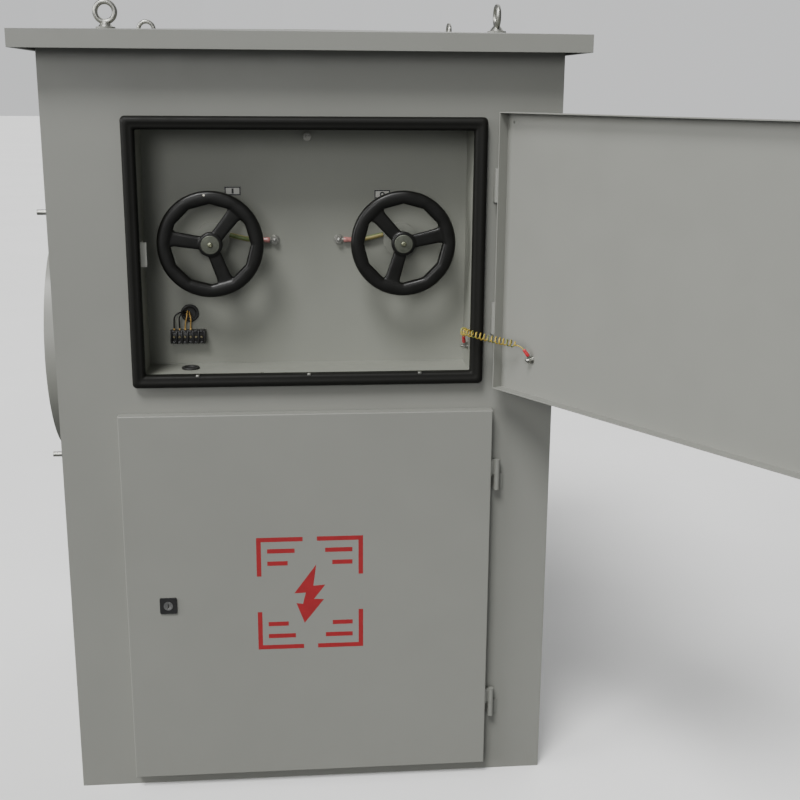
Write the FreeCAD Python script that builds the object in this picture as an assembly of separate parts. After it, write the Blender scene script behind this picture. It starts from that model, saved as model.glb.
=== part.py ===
import FreeCAD, Part
import math
import os

from FreeCAD import Vector

# Free-standing sheet-steel housing of a high-voltage distribution unit, in millimetres.
# +X right, +Y to the back, +Z up. The origin is the centre of the base, on the ground.

# ---- driving dimensions: the body ----
WIDTH = 950.0
DEPTH = 950.0
SHEET = 2.5               # body panels
SILL = 28.5               # ground to the lower door's bottom edge
LOWER_DOOR_HEIGHT = 764.0
DOOR_SPACING = 46.0       # between the two doors
UPPER_DOOR_HEIGHT = 518.5
HEAD = 104.0              # upper door's top edge to the roof's drip edge
CHANNEL_HEIGHT = 80.0     # base frame
CHANNEL_FLANGE = 45.0
CHANNEL_WEB = 5.0
ANCHOR_HOLE_R = 9.0
ANCHOR_INSET = 28.0       # anchor hole centre from the channel's outer face
POST_LEG = 40.0           # corner posts and top rails, angle section
POST_WALL = 4.0

# ---- roof ----
ROOF_OVERHANG_FRONT = 57.0
ROOF_OVERHANG_SIDE = 38.0
FASCIA_HEIGHT = 31.5
ROOF_RISE = 27.5
ROOF_SHEET = 2.5
DRIP_LIP = 14.0
ROOF_SEAL = 4.0
EYE_INSET_X = 107.0       # eye's axis inside the side wall's face
EYE_INSET_Y = 125.0
EYE_RING_R = 18.0         # to the middle of the ring's bar
EYE_BAR_R = 5.0
EYE_SHANK_R = 6.0
EYE_SHOULDER_R = 14.0
EYE_SHOULDER = 9.0

# ---- doors ----
DOOR_SHEET = 2.0
DOOR_DEPTH = 25.3         # lower door's outer face in front of the body
UPPER_DOOR_DEPTH = 23.5
DOOR_RIM_GAP = 1.5
DOOR_LEFT = 363.7         # both doors' free edges, left of centre
LOWER_DOOR_RIGHT = 353.9
UPPER_DOOR_RIGHT = 341.0
UPPER_DOOR_OPEN = 121.6   # degrees, how far the upper door stands open
PIN_OUT = 13.0            # hinge axis in front of the body, and beside the door's edge
HINGE_LENGTH = 62.0
HINGE_BARREL_R = 6.0
HINGE_PIN_R = 3.0
HINGE_PLATE = 3.0
HINGE_FROM_DOOR_END = 134.0
RUNNING = 0.05            # radial clearance of pins and shafts
CLEAR = 0.3               # between pieces that pass each other
LOWER_OPENING_HALF = 330.0
OPENING_INSET = 27.0      # lower opening inside the door's top and bottom edges
LIP = 13.0                # turned-out edge round the lower opening
SEAL_WIDTH = 19.0

# ---- lock in the lower door ----
LOCK_X = -283.5
LOCK_ABOVE_DOOR_BOTTOM = 377.5
LOCK_PLATE = 33.0
LOCK_PLATE_T = 3.0
LOCK_BODY_R = 13.0
LOCK_CYLINDER_R = 9.0
CAM_LENGTH = 62.0
CAM_WIDTH = 16.0
CAM_T = 3.0

# ---- operating recess behind the upper door ----
RECESS_HALF = 311.4
RECESS_DEPTH = 101.0
RECESS_SHEET = 2.0
RECESS_BOTTOM_INSET = 28.3
RECESS_TOP_INSET = 32.2
RECESS_FLANGE = 16.0
RECESS_LIP = 14.0
DRAIN_X = -90.0           # drain hole in the recess's floor
DRAIN_BACK = 12.0         # behind the body's front face
DRAIN_R = 3.5
GASKET_WIDTH = 24.3
GASKET_HEIGHT = 20.5
GASKET_COVER = 2.2        # rubber inside the lip
GASKET_CORNER_R = 14.0

# ---- handwheels and their shafts ----
WHEEL_TO_WALL = 29.4
WHEEL_ABOVE_MIDDLE = 15.0
WHEEL_R = 100.0
RIM_WIDTH = 21.0
RIM_DEPTH = 22.0
SPOKE_WIDTH = 24.0
SPOKE_T = 13.0
HUB_R = 21.0
HUB_LENGTH = 42.0
WHEEL_BACK = 18.0         # wheel's front behind the body's front face
LEFT_SPOKES_FROM = 51.0   # degrees
RIGHT_SPOKES_FROM = 13.0
HUB_DISC_R = 17.7
HUB_DISC_T = 3.0
SHAFT_R = 12.0
BEARING_R = 20.0
BEARING_FLANGE_R = 33.0
BEARING_FLANGE_T = 7.0

# ---- rotary isolators behind the recess ----
PHASE_SPACING = 190.0
INSULATED_SHAFT_R = 20.0
SHAFT_OVERLAP = 30.0
BLADE_R = 100.0
BLADE_WIDTH = 24.0
BLADE_T = 8.0
BLADE_CLAMP_R = 32.0
BLADE_CLAMP_T = 26.0
POST_OFFSET = 136.0       # insulator from its shaft's axis
INSULATOR_R = 17.0
SHED_R = 26.0
SHED_COUNT = 6
JAW_T = 4.0
JAW_BELOW_AXIS = 30.0
BUS_T = 5.0
BUS_WIDTH = 30.0
BRACKET_T = 8.0
SHELF_T = 3.0

# ---- dry transformer in the lower compartment ----
LIMB_SPACING = 210.0
LIMB = 80.0
WINDOW_HEIGHT = 320.0
COIL_R = 97.0
COIL_BORE_R = 60.0
CORE_FOOT = 70.0          # floor to the lower yoke
CLAMP_DEPTH = 30.0
CLAMP_HEIGHT = 60.0
HV_CABLE_R = 9.0
HV_CABLE_BEND = 65.0
FLOOR_T = 2.5

# ---- round port on the left side ----
PORT_Z = 850.0
PORT_OUT = 65.0           # cover's face from the side wall
NECK_R = 230.0            # bore
NECK_WALL = 5.0
COVER_LAP = 13.0          # cover's edge outside the neck
COVER_T = 5.0
PORT_SEAL_T = 4.0
CLAMP_PAST_COVER = 30.0
CLAMP_PIVOT_OUT = 20.0
CLAMP_BOLT_R = 6.0
CLAMP_PIN_R = 5.0
CLAMP_REACH = 110.0       # bolt's end from the side wall
NUT_BACK_OFF = 2.0
EAR_PAST_BOLT = 12.0      # short enough for the washer to swing off it

# ---- wiring in the recess ----
FLEX_R = 8.0              # curly earth lead, over its turns
LEAD_R = 2.2
BOND_R = 3.0
CONTROL_WIRE_R = 1.6

# ---- worked out from the above ----
FRONT = -DEPTH / 2
BACK = DEPTH / 2
HALF = WIDTH / 2
LOWER_DOOR_TOP = SILL + LOWER_DOOR_HEIGHT
UPPER_DOOR_BOTTOM = LOWER_DOOR_TOP + DOOR_SPACING
UPPER_DOOR_TOP = UPPER_DOOR_BOTTOM + UPPER_DOOR_HEIGHT
DRIP_Z = UPPER_DOOR_TOP + HEAD
BODY_TOP = DRIP_Z + 12.0
EAVES_Z = DRIP_Z + FASCIA_HEIGHT
LOWER_PIN_X = LOWER_DOOR_RIGHT + PIN_OUT
UPPER_PIN_X = UPPER_DOOR_RIGHT + PIN_OUT
PIN_Y = FRONT - PIN_OUT
RECESS_FLOOR = UPPER_DOOR_BOTTOM + RECESS_BOTTOM_INSET
RECESS_CEILING = UPPER_DOOR_TOP - RECESS_TOP_INSET
RECESS_BACK = FRONT + RECESS_DEPTH
AXIS_Z = (RECESS_FLOOR + RECESS_CEILING) / 2 + WHEEL_ABOVE_MIDDLE
SHELF_Z = LOWER_DOOR_TOP + DOOR_SPACING / 2
PHASES = [-PHASE_SPACING, 0.0, PHASE_SPACING]
LOCK_Z = SILL + LOCK_ABOVE_DOOR_BOTTOM
EYE_X = HALF - EYE_INSET_X
EYE_Y = BACK - EYE_INSET_Y
WHEEL_X = RECESS_HALF - WHEEL_TO_WALL - WHEEL_R
PORT_R = NECK_R + NECK_WALL + COVER_LAP
CLAMP_FROM_AXIS = PORT_R + CLAMP_PAST_COVER
FLOOR_Z = CHANNEL_HEIGHT
SHAFT_END = RECESS_BACK + 75.0
REAR_BEARING_Y = PHASE_SPACING + 75.0
POST_TOP = AXIS_Z - JAW_BELOW_AXIS
CORE_Z = FLOOR_Z + FLOOR_T + CORE_FOOT
CORE_TOP = CORE_Z + WINDOW_HEIGHT + 2 * LIMB


def box(x0, x1, y0, y1, z0, z1):
    return Part.makeBox(x1 - x0, y1 - y0, z1 - z0, Vector(x0, y0, z0))


def rod(radius, start, end):
    along = end.sub(start)
    return Part.makeCylinder(radius, along.Length, start, along)


def pipe(outer, inner, start, end):
    return rod(outer, start, end).cut(rod(inner, start, end))


def union(shapes):
    return shapes[0].fuse(shapes[1:]).removeSplitter()


def rounded_block(x0, x1, y0, y1, z0, z1, radius):
    """A block whose four edges along Y are rounded."""
    block = box(x0, x1, y0, y1, z0, z1)
    edges = [e for e in block.Edges if abs(e.tangentAt(e.FirstParameter).y) > 0.9]
    return block.makeFillet(radius, edges)


def hexagon(across, thickness, start, along):
    """A hexagonal nut or bolt head with its first face at start."""
    side = Vector(0, 0, 1).cross(along)
    if side.Length < 0.1:
        side = Vector(1, 0, 0)
    side.normalize()
    up = along.cross(side)
    reach = across / math.sqrt(3)
    corners = []
    for k in range(7):
        turn = math.radians(60 * k)
        corners.append(start + side * (reach * math.cos(turn)) + up * (reach * math.sin(turn)))
    return Part.Face(Part.makePolygon(corners)).extrude(along * thickness)


def turned(shape, angle, centre, axis):
    copy = shape.copy()
    copy.rotate(centre, axis, angle)
    return copy


def moved(shape, x, y, z):
    copy = shape.copy()
    copy.translate(Vector(x, y, z))
    return copy


def smooth_tube(name, points, radius, widest=1000.0):
    """A round tube along straight runs joined by tangent arcs, as large as the runs allow."""
    edges = []
    radii = []
    last = points[0]
    for before, corner, after in zip(points, points[1:], points[2:]):
        into = corner.sub(before)
        out = after.sub(corner)
        shorter = min(into.Length, out.Length)
        into.normalize()
        out.normalize()
        turn = into.getAngle(out)
        cut_back = min(0.45 * shorter, widest * math.tan(turn / 2))
        radii.append(round(cut_back / math.tan(turn / 2), 1))
        start = corner - into * cut_back
        end = corner + out * cut_back
        inward = (out - into).normalize()
        middle = corner + inward * (cut_back / math.tan(turn / 2) / math.cos(turn / 2)
                                    - cut_back / math.tan(turn / 2))
        if start.sub(last).Length > 0.001:
            edges.append(Part.LineSegment(last, start).toShape())
        edges.append(Part.Arc(start, middle, end).toShape())
        last = end
    edges.append(Part.LineSegment(last, points[-1]).toShape())
    path = Part.Wire(edges)
    section = Part.Wire([Part.makeCircle(radius, points[0], points[1].sub(points[0]))])
    tube = path.makePipeShell([section], True, False)
    expected = math.pi * radius ** 2 * path.Length
    print(name, "length", round(path.Length, 1), "radii", radii,
          "volume ratio", round(tube.Volume / expected, 4))
    return tube


def save(name, shapes):
    if not isinstance(shapes, list):
        shapes = [shapes]
    solids = []
    for shape in shapes:
        solids += shape.Solids
    for solid in solids:
        assert solid.isValid(), name
    whole = solids[0] if len(solids) == 1 else Part.makeCompound(solids)
    whole.exportStep(os.path.join("parts", name + ".step"))
    print(name, len(solids), "solids")


# ---- body ----

def channel(length):
    """A base channel along X, open towards +Y, its outer face at y = 0, standing on z = 0."""
    web = box(0, length, 0, CHANNEL_WEB, 0, CHANNEL_HEIGHT)
    foot = box(0, length, 0, CHANNEL_FLANGE, 0, CHANNEL_WEB)
    top = box(0, length, 0, CHANNEL_FLANGE, CHANNEL_HEIGHT - CHANNEL_WEB, CHANNEL_HEIGHT)
    return union([web, foot, top])


def base_frame():
    x = HALF - SHEET
    y = BACK - SHEET
    front = moved(channel(2 * x), -x, -y, 0)
    back = turned(front, 180, Vector(0, 0, 0), Vector(0, 0, 1))
    side = turned(moved(channel(2 * y), -y, -x, 0), 90, Vector(0, 0, 0), Vector(0, 0, 1))
    other = turned(side, 180, Vector(0, 0, 0), Vector(0, 0, 1))
    frame = union([front, back, side, other])
    inner = y - CHANNEL_WEB
    for sign in (-1, 1):
        bearer = box(sign * LIMB_SPACING - 20, sign * LIMB_SPACING + 20, -inner, inner,
                     CHANNEL_HEIGHT - 2 * CHANNEL_WEB, CHANNEL_HEIGHT)
        frame = frame.fuse(bearer)
    for sx in (-1, 1):
        for sy in (-1, 1):
            centre = Vector(sx * (HALF - SHEET - ANCHOR_INSET), sy * (BACK - SHEET - ANCHOR_INSET), -1)
            frame = frame.cut(rod(ANCHOR_HOLE_R, centre, centre + Vector(0, 0, CHANNEL_WEB + 2)))
    return frame.removeSplitter()


def body_frame():
    """Four corner posts, a ring of top rails and the gussets that take the lifting eyes."""
    x = HALF - SHEET
    y = BACK - SHEET
    pieces = []
    for sx in (-1, 1):
        for sy in (-1, 1):
            leg_x = sorted((sx * x, sx * (x - POST_LEG)))
            leg_y = sorted((sy * y, sy * (y - POST_LEG)))
            wall_x = sorted((sx * x, sx * (x - POST_WALL)))
            wall_y = sorted((sy * y, sy * (y - POST_WALL)))
            pieces.append(box(*leg_x, *wall_y, CHANNEL_HEIGHT, BODY_TOP))
            pieces.append(box(*wall_x, *leg_y, CHANNEL_HEIGHT, BODY_TOP))
            gusset_x = sorted((sx * x, sx * (EYE_X - 30)))
            gusset_y = sorted((sy * y, sy * (EYE_Y - 30)))
            pieces.append(box(*gusset_x, *gusset_y, BODY_TOP - 3 * POST_WALL, BODY_TOP))
    ring = box(-x, x, -y, y, BODY_TOP - POST_WALL, BODY_TOP)
    pieces.append(ring.cut(box(POST_LEG - x, x - POST_LEG, POST_LEG - y, y - POST_LEG, 0, BODY_TOP + 1)))
    frame = union(pieces)
    for sx in (-1, 1):
        for sy in (-1, 1):
            top = Vector(sx * EYE_X, sy * EYE_Y, BODY_TOP + 1)
            frame = frame.cut(rod(EYE_SHANK_R, top, top - Vector(0, 0, 40)))
    return frame.removeSplitter()


def front_panel():
    panel = box(-HALF, HALF, FRONT, FRONT + SHEET, 0, BODY_TOP)
    wall = RECESS_SHEET
    panel = panel.cut(box(-RECESS_HALF - wall, RECESS_HALF + wall, FRONT - 1, FRONT + SHEET + 1,
                          RECESS_FLOOR - wall, RECESS_CEILING + wall))
    half = LOWER_OPENING_HALF
    low = SILL + OPENING_INSET
    high = LOWER_DOOR_TOP - OPENING_INSET
    lip = box(-half - SHEET, half + SHEET, FRONT - LIP, FRONT + SHEET, low - SHEET, high + SHEET)
    opening = box(-half, half, FRONT - LIP - 1, FRONT + SHEET + 1, low, high)
    return panel.fuse(lip).cut(opening).removeSplitter()


def side_panel(sign):
    y0 = FRONT + SHEET
    y1 = BACK - SHEET
    xs = sorted((sign * HALF, sign * (HALF - SHEET)))
    panel = box(*xs, y0, y1, 0, BODY_TOP)
    if sign < 0:
        centre = Vector(-HALF - 1, 0, PORT_Z)
        panel = panel.cut(rod(NECK_R, centre, centre + Vector(SHEET + 2, 0, 0)))
    return panel


REAR_OPENING_HALF = HALF - 95.0
REAR_OPENING_LOW = 130.0
REAR_COVER_LAP = 35.0
REAR_BOLTS_UP = 5


def rear_panel():
    panel = box(-HALF, HALF, BACK - SHEET, BACK, 0, BODY_TOP)
    high = BODY_TOP - REAR_OPENING_LOW
    cut = box(-REAR_OPENING_HALF, REAR_OPENING_HALF, BACK - SHEET - 1, BACK + 1, REAR_OPENING_LOW, high)
    panel = panel.cut(cut)
    for place in rear_bolt_places():
        panel = panel.cut(rod(4.0, place - Vector(0, SHEET + 1, 0), place + Vector(0, 1, 0)))
    return panel


def rear_bolt_places():
    lap = REAR_COVER_LAP / 2
    low = REAR_OPENING_LOW - lap
    high = BODY_TOP - REAR_OPENING_LOW + lap
    places = []
    for k in range(REAR_BOLTS_UP):
        z = low + (high - low) * k / (REAR_BOLTS_UP - 1)
        for sign in (-1, 1):
            places.append(Vector(sign * (REAR_OPENING_HALF + lap), BACK, z))
    places.append(Vector(0, BACK, low))
    places.append(Vector(0, BACK, high))
    return places


REAR_COVER_DEPTH = 14.0
LOUVRE_COUNT = 7
LOUVRE_PITCH = 26.0
LOUVRE_LENGTH = 190.0
LOUVRE_OUT = 9.0


def louvre(x, z, y):
    """A pressed louvre: a hood that is open along its lower edge."""
    start = Vector(x - LOUVRE_LENGTH / 2, y, z)
    end = Vector(x + LOUVRE_LENGTH / 2, y, z)
    hood = pipe(LOUVRE_OUT, LOUVRE_OUT - 1.5, start, end)
    caps = [rod(LOUVRE_OUT, start, start + Vector(1.5, 0, 0)), rod(LOUVRE_OUT, end - Vector(1.5, 0, 0), end)]
    hood = union([hood] + caps)
    keep = box(start.x, end.x, y - 1, y + LOUVRE_OUT + 1, z - 2, z + LOUVRE_OUT + 1)
    return hood.common(keep)


def rear_cover():
    """A bolted pan with a flat edge, a raised field and two banks of louvres."""
    lap = REAR_COVER_LAP
    high = BODY_TOP - REAR_OPENING_LOW
    half = REAR_OPENING_HALF
    rim = box(-half - lap, half + lap, BACK, BACK + SHEET, REAR_OPENING_LOW - lap, high + lap)
    field = rounded_block(-half + 10, half - 10, BACK, BACK + REAR_COVER_DEPTH,
                          REAR_OPENING_LOW + 10, high - 10, 12)
    hollow = rounded_block(-half + 10 + SHEET, half - 10 - SHEET, BACK - 1, BACK + REAR_COVER_DEPTH - SHEET,
                           REAR_OPENING_LOW + 10 + SHEET, high - 10 - SHEET, 12 - SHEET)
    cover = rim.fuse(field).cut(hollow)
    face = BACK + REAR_COVER_DEPTH
    for x in (-half / 2, half / 2):
        for k in range(LOUVRE_COUNT):
            for base in (REAR_OPENING_LOW + 90, high - 90 - LOUVRE_COUNT * LOUVRE_PITCH):
                z = base + k * LOUVRE_PITCH
                slot = box(x - LOUVRE_LENGTH / 2 + 4, x + LOUVRE_LENGTH / 2 - 4, face - SHEET - 1, face + 1,
                           z, z + LOUVRE_OUT - 2.5)
                cover = cover.cut(slot).fuse(louvre(x, z, face - 0.5))
    for place in rear_bolt_places():
        cover = cover.cut(rod(4.0, place - Vector(0, 1, 0), place + Vector(0, SHEET + 1, 0)))
    return cover.removeSplitter()


def rear_cover_bolts():
    bolts = []
    along = Vector(0, 1, 0)
    for place in rear_bolt_places():
        face = place + along * SHEET
        washer = rod(8.0, face, face + along * 1.5)
        head = hexagon(13.0, 5.0, face + along * 1.5, along)
        shank = rod(4.0, place - along * 14, face)
        bolts.append(union([shank, washer, head]))
    return bolts


def roof_shell(inset, eaves, apex):
    """The solid under a four-sided slope, from the drip edge up."""
    x = HALF + ROOF_OVERHANG_SIDE - inset
    y = BACK + ROOF_OVERHANG_FRONT - inset
    corners = [Vector(-x, -y, eaves), Vector(x, -y, eaves), Vector(x, y, eaves), Vector(-x, y, eaves)]
    top = Vector(0, 0, apex)
    faces = [Part.Face(Part.makePolygon(corners + corners[:1]))]
    for k in range(4):
        faces.append(Part.Face(Part.makePolygon([corners[k], corners[(k + 1) % 4], top, corners[k]])))
    return Part.Solid(Part.Shell(faces)), box(-x, x, -y, y, DRIP_Z, eaves)


def eye_bases():
    """Where the lifting eyes' shoulders sit, with the turn of each ring."""
    places = []
    slope = ROOF_RISE / (HALF + ROOF_OVERHANG_SIDE)
    z = EAVES_Z + slope * (HALF + ROOF_OVERHANG_SIDE - EYE_X)
    for sx in (-1, 1):
        for sy in (-1, 1):
            places.append((Vector(sx * EYE_X, sy * EYE_Y, z + 4.0), 90.0 if sx > 0 else 0.0))
    return places


def roof_cover():
    slope, band = roof_shell(0, EAVES_Z, EAVES_Z + ROOF_RISE)
    inner_slope, inner_band = roof_shell(ROOF_SHEET, EAVES_Z - ROOF_SHEET, EAVES_Z - ROOF_SHEET + ROOF_RISE)
    shell = slope.fuse(band).cut(inner_slope.fuse(inner_band))
    x = HALF + ROOF_OVERHANG_SIDE
    y = BACK + ROOF_OVERHANG_FRONT
    lip = box(-x, x, -y, y, DRIP_Z, DRIP_Z + ROOF_SHEET)
    lip = lip.cut(box(DRIP_LIP - x, x - DRIP_LIP, DRIP_LIP - y, y - DRIP_LIP, 0, EAVES_Z))
    bearer_z = BODY_TOP + ROOF_SEAL
    outer = box(-HALF + SHEET, HALF - SHEET, FRONT + SHEET, BACK - SHEET, bearer_z, EAVES_Z + 4)
    inside = POST_LEG - 10
    inner = box(inside - HALF, HALF - inside, FRONT + inside, BACK - inside, bearer_z - 1, EAVES_Z + 5)
    bearer = outer.cut(inner)
    roof = union([shell, lip, bearer.common(slope.fuse(band))])
    for place, _ in eye_bases():
        pad = rod(EYE_SHOULDER_R + 4, Vector(place.x, place.y, bearer_z), place)
        roof = roof.fuse(pad)
    for place, _ in eye_bases():
        roof = roof.cut(rod(EYE_SHANK_R, Vector(place.x, place.y, bearer_z - 1), place + Vector(0, 0, 1)))
    return roof.removeSplitter()


def roof_seal():
    x = HALF - SHEET - 2
    y = BACK - SHEET - 2
    inner = POST_LEG - 12
    strip = box(-x, x, -y, y, BODY_TOP, BODY_TOP + ROOF_SEAL)
    return strip.cut(box(inner - x, x - inner, inner - y, y - inner, BODY_TOP - 1, BODY_TOP + ROOF_SEAL + 1))


def lifting_eyes():
    eyes = []
    for place, turn in eye_bases():
        up = Vector(0, 0, 1)
        shoulder = Part.makeCone(EYE_SHOULDER_R, EYE_BAR_R + 2, EYE_SHOULDER, place, up)
        centre = place + up * (EYE_SHOULDER + EYE_RING_R)
        ring = Part.makeTorus(EYE_RING_R, EYE_BAR_R, centre, Vector(0, 1, 0))
        shank = rod(EYE_SHANK_R, Vector(place.x, place.y, BODY_TOP - 2.5 * POST_WALL), place)
        eyes.append(turned(union([shank, shoulder, ring]), turn, place, up))
    return eyes


# ---- doors ----

def pan_door(left, right, bottom, top, depth, inner_y):
    """A folded pan: an outer skin with four turned-back edges."""
    face = FRONT - depth
    rim = FRONT - inner_y
    pan = box(left, right, face, rim, bottom, top)
    pan = pan.cut(box(left + DOOR_SHEET, right - DOOR_SHEET, face + DOOR_SHEET, rim + 1,
                      bottom + DOOR_SHEET, top - DOOR_SHEET))
    edges = []
    for edge in pan.Edges:
        points = [v.Point for v in edge.Vertexes]
        if len(points) == 2 and all(abs(p.y - face) < 0.01 for p in points):
            edges.append(edge)
    return pan.makeFillet(DOOR_SHEET * 0.9, edges)


def hinge_heights(bottom, top):
    middle = HINGE_LENGTH / 2
    return [bottom + HINGE_FROM_DOOR_END - middle, top - HINGE_FROM_DOOR_END - middle]


def barrel(x, z0, z1, bore):
    return pipe(HINGE_BARREL_R, bore, Vector(x, PIN_Y, z0), Vector(x, PIN_Y, z1))


def frame_half(x, z):
    """The lower half of a hinge: a barrel on a plate welded to the body, with the pin pressed in."""
    top = z + HINGE_LENGTH / 2
    plate = box(x - HINGE_PLATE / 2, x + HINGE_PLATE / 2, PIN_Y + HINGE_PIN_R + 1, FRONT, z, top)
    foot = box(x - HINGE_BARREL_R, x + HINGE_BARREL_R + 8, FRONT - HINGE_PLATE, FRONT, z, top)
    return union([barrel(x, z, top, HINGE_PIN_R), plate, foot])


def hinge_pin(x, z):
    return rod(HINGE_PIN_R, Vector(x, PIN_Y, z), Vector(x, PIN_Y, z + HINGE_LENGTH - 4))


def door_half(x, z):
    """The upper half of a hinge: a barrel on a plate welded to the door's edge, closed at its top."""
    low = z + HINGE_LENGTH / 2 + CLEAR
    high = z + HINGE_LENGTH
    half = HINGE_PLATE / 2
    plate = box(x - PIN_OUT, x - HINGE_PIN_R - 1, PIN_Y - half, PIN_Y + half, low, high)
    pad = box(x - PIN_OUT, x - PIN_OUT + HINGE_PLATE, PIN_Y - 8, PIN_Y + 8, low, high)
    cap = rod(HINGE_BARREL_R, Vector(x, PIN_Y, high - 3.5), Vector(x, PIN_Y, high))
    return union([barrel(x, low, high, HINGE_PIN_R + RUNNING), plate, pad, cap])


LOWER_HINGES = hinge_heights(SILL, LOWER_DOOR_TOP)
UPPER_HINGES = hinge_heights(UPPER_DOOR_BOTTOM, UPPER_DOOR_TOP)


def opened(shape):
    """Turns a piece of the closed upper door to where the door stands open."""
    return turned(shape, UPPER_DOOR_OPEN, Vector(UPPER_PIN_X, PIN_Y, 0), Vector(0, 0, 1))


PAINT_HOLE_R = 2.5
PAINT_HOLE_INSET = 18.0
DOOR_BOLT_ALONG = 85.0
DOOR_BOLT_UP = 69.0


def upper_door_shell():
    pan = pan_door(-DOOR_LEFT, UPPER_DOOR_RIGHT, UPPER_DOOR_BOTTOM, UPPER_DOOR_TOP, UPPER_DOOR_DEPTH, 1.0)
    for x in (UPPER_DOOR_RIGHT - PAINT_HOLE_INSET, -DOOR_LEFT + PAINT_HOLE_INSET):
        place = Vector(x, FRONT - UPPER_DOOR_DEPTH - 1, UPPER_DOOR_TOP - PAINT_HOLE_INSET)
        pan = pan.cut(rod(PAINT_HOLE_R, place, place + Vector(0, 6, 0)))
    return opened(pan)


def door_earth_bolt():
    """The welded stud near the door's hinge, its nut and the lead's ring lug."""
    x = UPPER_DOOR_RIGHT - DOOR_BOLT_ALONG
    skin = FRONT - UPPER_DOOR_DEPTH + DOOR_SHEET
    place = Vector(x, skin, UPPER_DOOR_BOTTOM + DOOR_BOLT_UP)
    along = Vector(0, 1, 0)
    stud = rod(3.0, place, place + along * 14)
    washer = pipe(7.0, 3.0, place, place + along * 2)
    lug = pipe(6.5, 3.0, place + along * 2, place + along * 4)
    nut = hexagon(10.0, 5.0, place + along * 4, along).cut(stud)
    return [opened(piece) for piece in (stud, washer, lug, nut)]


def lower_door_shell():
    pan = pan_door(-DOOR_LEFT, LOWER_DOOR_RIGHT, SILL, LOWER_DOOR_TOP, DOOR_DEPTH, DOOR_RIM_GAP)
    place = Vector(LOCK_X, FRONT - DOOR_DEPTH - 1, LOCK_Z)
    return pan.cut(rod(LOCK_BODY_R, place, place + Vector(0, DOOR_SHEET + 2, 0)))


def lower_door_seal():
    """A flat foam frame on the door's inside that meets the turned-out lip."""
    middle = LOWER_OPENING_HALF + SHEET / 2
    low = SILL + OPENING_INSET - SHEET / 2
    high = LOWER_DOOR_TOP - OPENING_INSET + SHEET / 2
    half = SEAL_WIDTH / 2
    y0 = FRONT - DOOR_DEPTH + DOOR_SHEET
    y1 = FRONT - LIP - CLEAR
    outer = rounded_block(-middle - half, middle + half, y0, y1, low - half, high + half, half)
    return outer.cut(box(half - middle, middle - half, y0 - 1, y1 + 1, low + half, high - half))


# ---- lock ----

def lock_housing():
    face = FRONT - DOOR_DEPTH
    half = LOCK_PLATE / 2
    plate = rounded_block(LOCK_X - half, LOCK_X + half, face - LOCK_PLATE_T, face,
                          LOCK_Z - half, LOCK_Z + half, 2.5)
    start = Vector(LOCK_X, face - LOCK_PLATE_T, LOCK_Z)
    body = rod(LOCK_BODY_R, Vector(LOCK_X, face, LOCK_Z), Vector(LOCK_X, FRONT - 3, LOCK_Z))
    inside = Vector(LOCK_X, face + DOOR_SHEET, LOCK_Z)
    nut = hexagon(32.0, 5.0, inside, Vector(0, 1, 0))
    housing = union([plate, body, nut])
    return housing.cut(rod(LOCK_CYLINDER_R + RUNNING, start - Vector(0, 1, 0), start + Vector(0, 60, 0)))


def lock_cylinder():
    start = Vector(LOCK_X, FRONT - DOOR_DEPTH - LOCK_PLATE_T - 0.8, LOCK_Z)
    end = Vector(LOCK_X, FRONT + SHEET + 0.5, LOCK_Z)
    cylinder = rod(LOCK_CYLINDER_R, start, end)
    keyway = box(LOCK_X - 1.2, LOCK_X + 1.2, start.y - 1, start.y + 9, LOCK_Z - 4.5, LOCK_Z + 4.5)
    dish = rod(5.5, start - Vector(0, 1, 0), start + Vector(0, 1.2, 0))
    screw = rod(3.0, end, end + Vector(0, CAM_T + 4, 0))
    return cylinder.cut(dish).cut(keyway).fuse(screw).removeSplitter()


def lock_cam():
    y0 = FRONT + SHEET + 0.5
    half = CAM_WIDTH / 2
    arm = box(LOCK_X - half, LOCK_X + half, y0, y0 + CAM_T, LOCK_Z - CAM_LENGTH, LOCK_Z + half)
    place = Vector(LOCK_X, y0, LOCK_Z)
    return arm.cut(rod(3.0, place - Vector(0, 1, 0), place + Vector(0, CAM_T + 1, 0)))


# ---- recess ----

def recess_box():
    """A welded tray set in the front panel; its front edge stands out as the gasket's lip."""
    wall = RECESS_SHEET
    lip_y = FRONT - RECESS_LIP
    outer = box(-RECESS_HALF - wall, RECESS_HALF + wall, lip_y, RECESS_BACK + wall,
                RECESS_FLOOR - wall, RECESS_CEILING + wall)
    inner = box(-RECESS_HALF, RECESS_HALF, lip_y - 1, RECESS_BACK, RECESS_FLOOR, RECESS_CEILING)
    flange = RECESS_FLANGE
    rear = FRONT + SHEET
    collar = box(-RECESS_HALF - flange, RECESS_HALF + flange, rear, rear + wall,
                 RECESS_FLOOR - flange, RECESS_CEILING + flange)
    tray = outer.fuse(collar).cut(inner)
    for x in (-WHEEL_X, WHEEL_X):
        place = Vector(x, RECESS_BACK - 1, AXIS_Z)
        tray = tray.cut(rod(BEARING_R, place, place + Vector(0, wall + 2, 0)))
    place = WALL_GROMMET - Vector(0, 1, 0)
    tray = tray.cut(rod(GROMMET_R - 3, place, place + Vector(0, wall + 2, 0)))
    place = FLOOR_GROMMET + Vector(0, 0, 1)
    tray = tray.cut(rod(GROMMET_R - 3, place, place - Vector(0, 0, wall + 2)))
    place = Vector(DRAIN_X, FRONT + DRAIN_BACK, RECESS_FLOOR + 1)
    tray = tray.cut(rod(DRAIN_R, place, place - Vector(0, 0, wall + 2)))
    return tray.removeSplitter()


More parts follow.
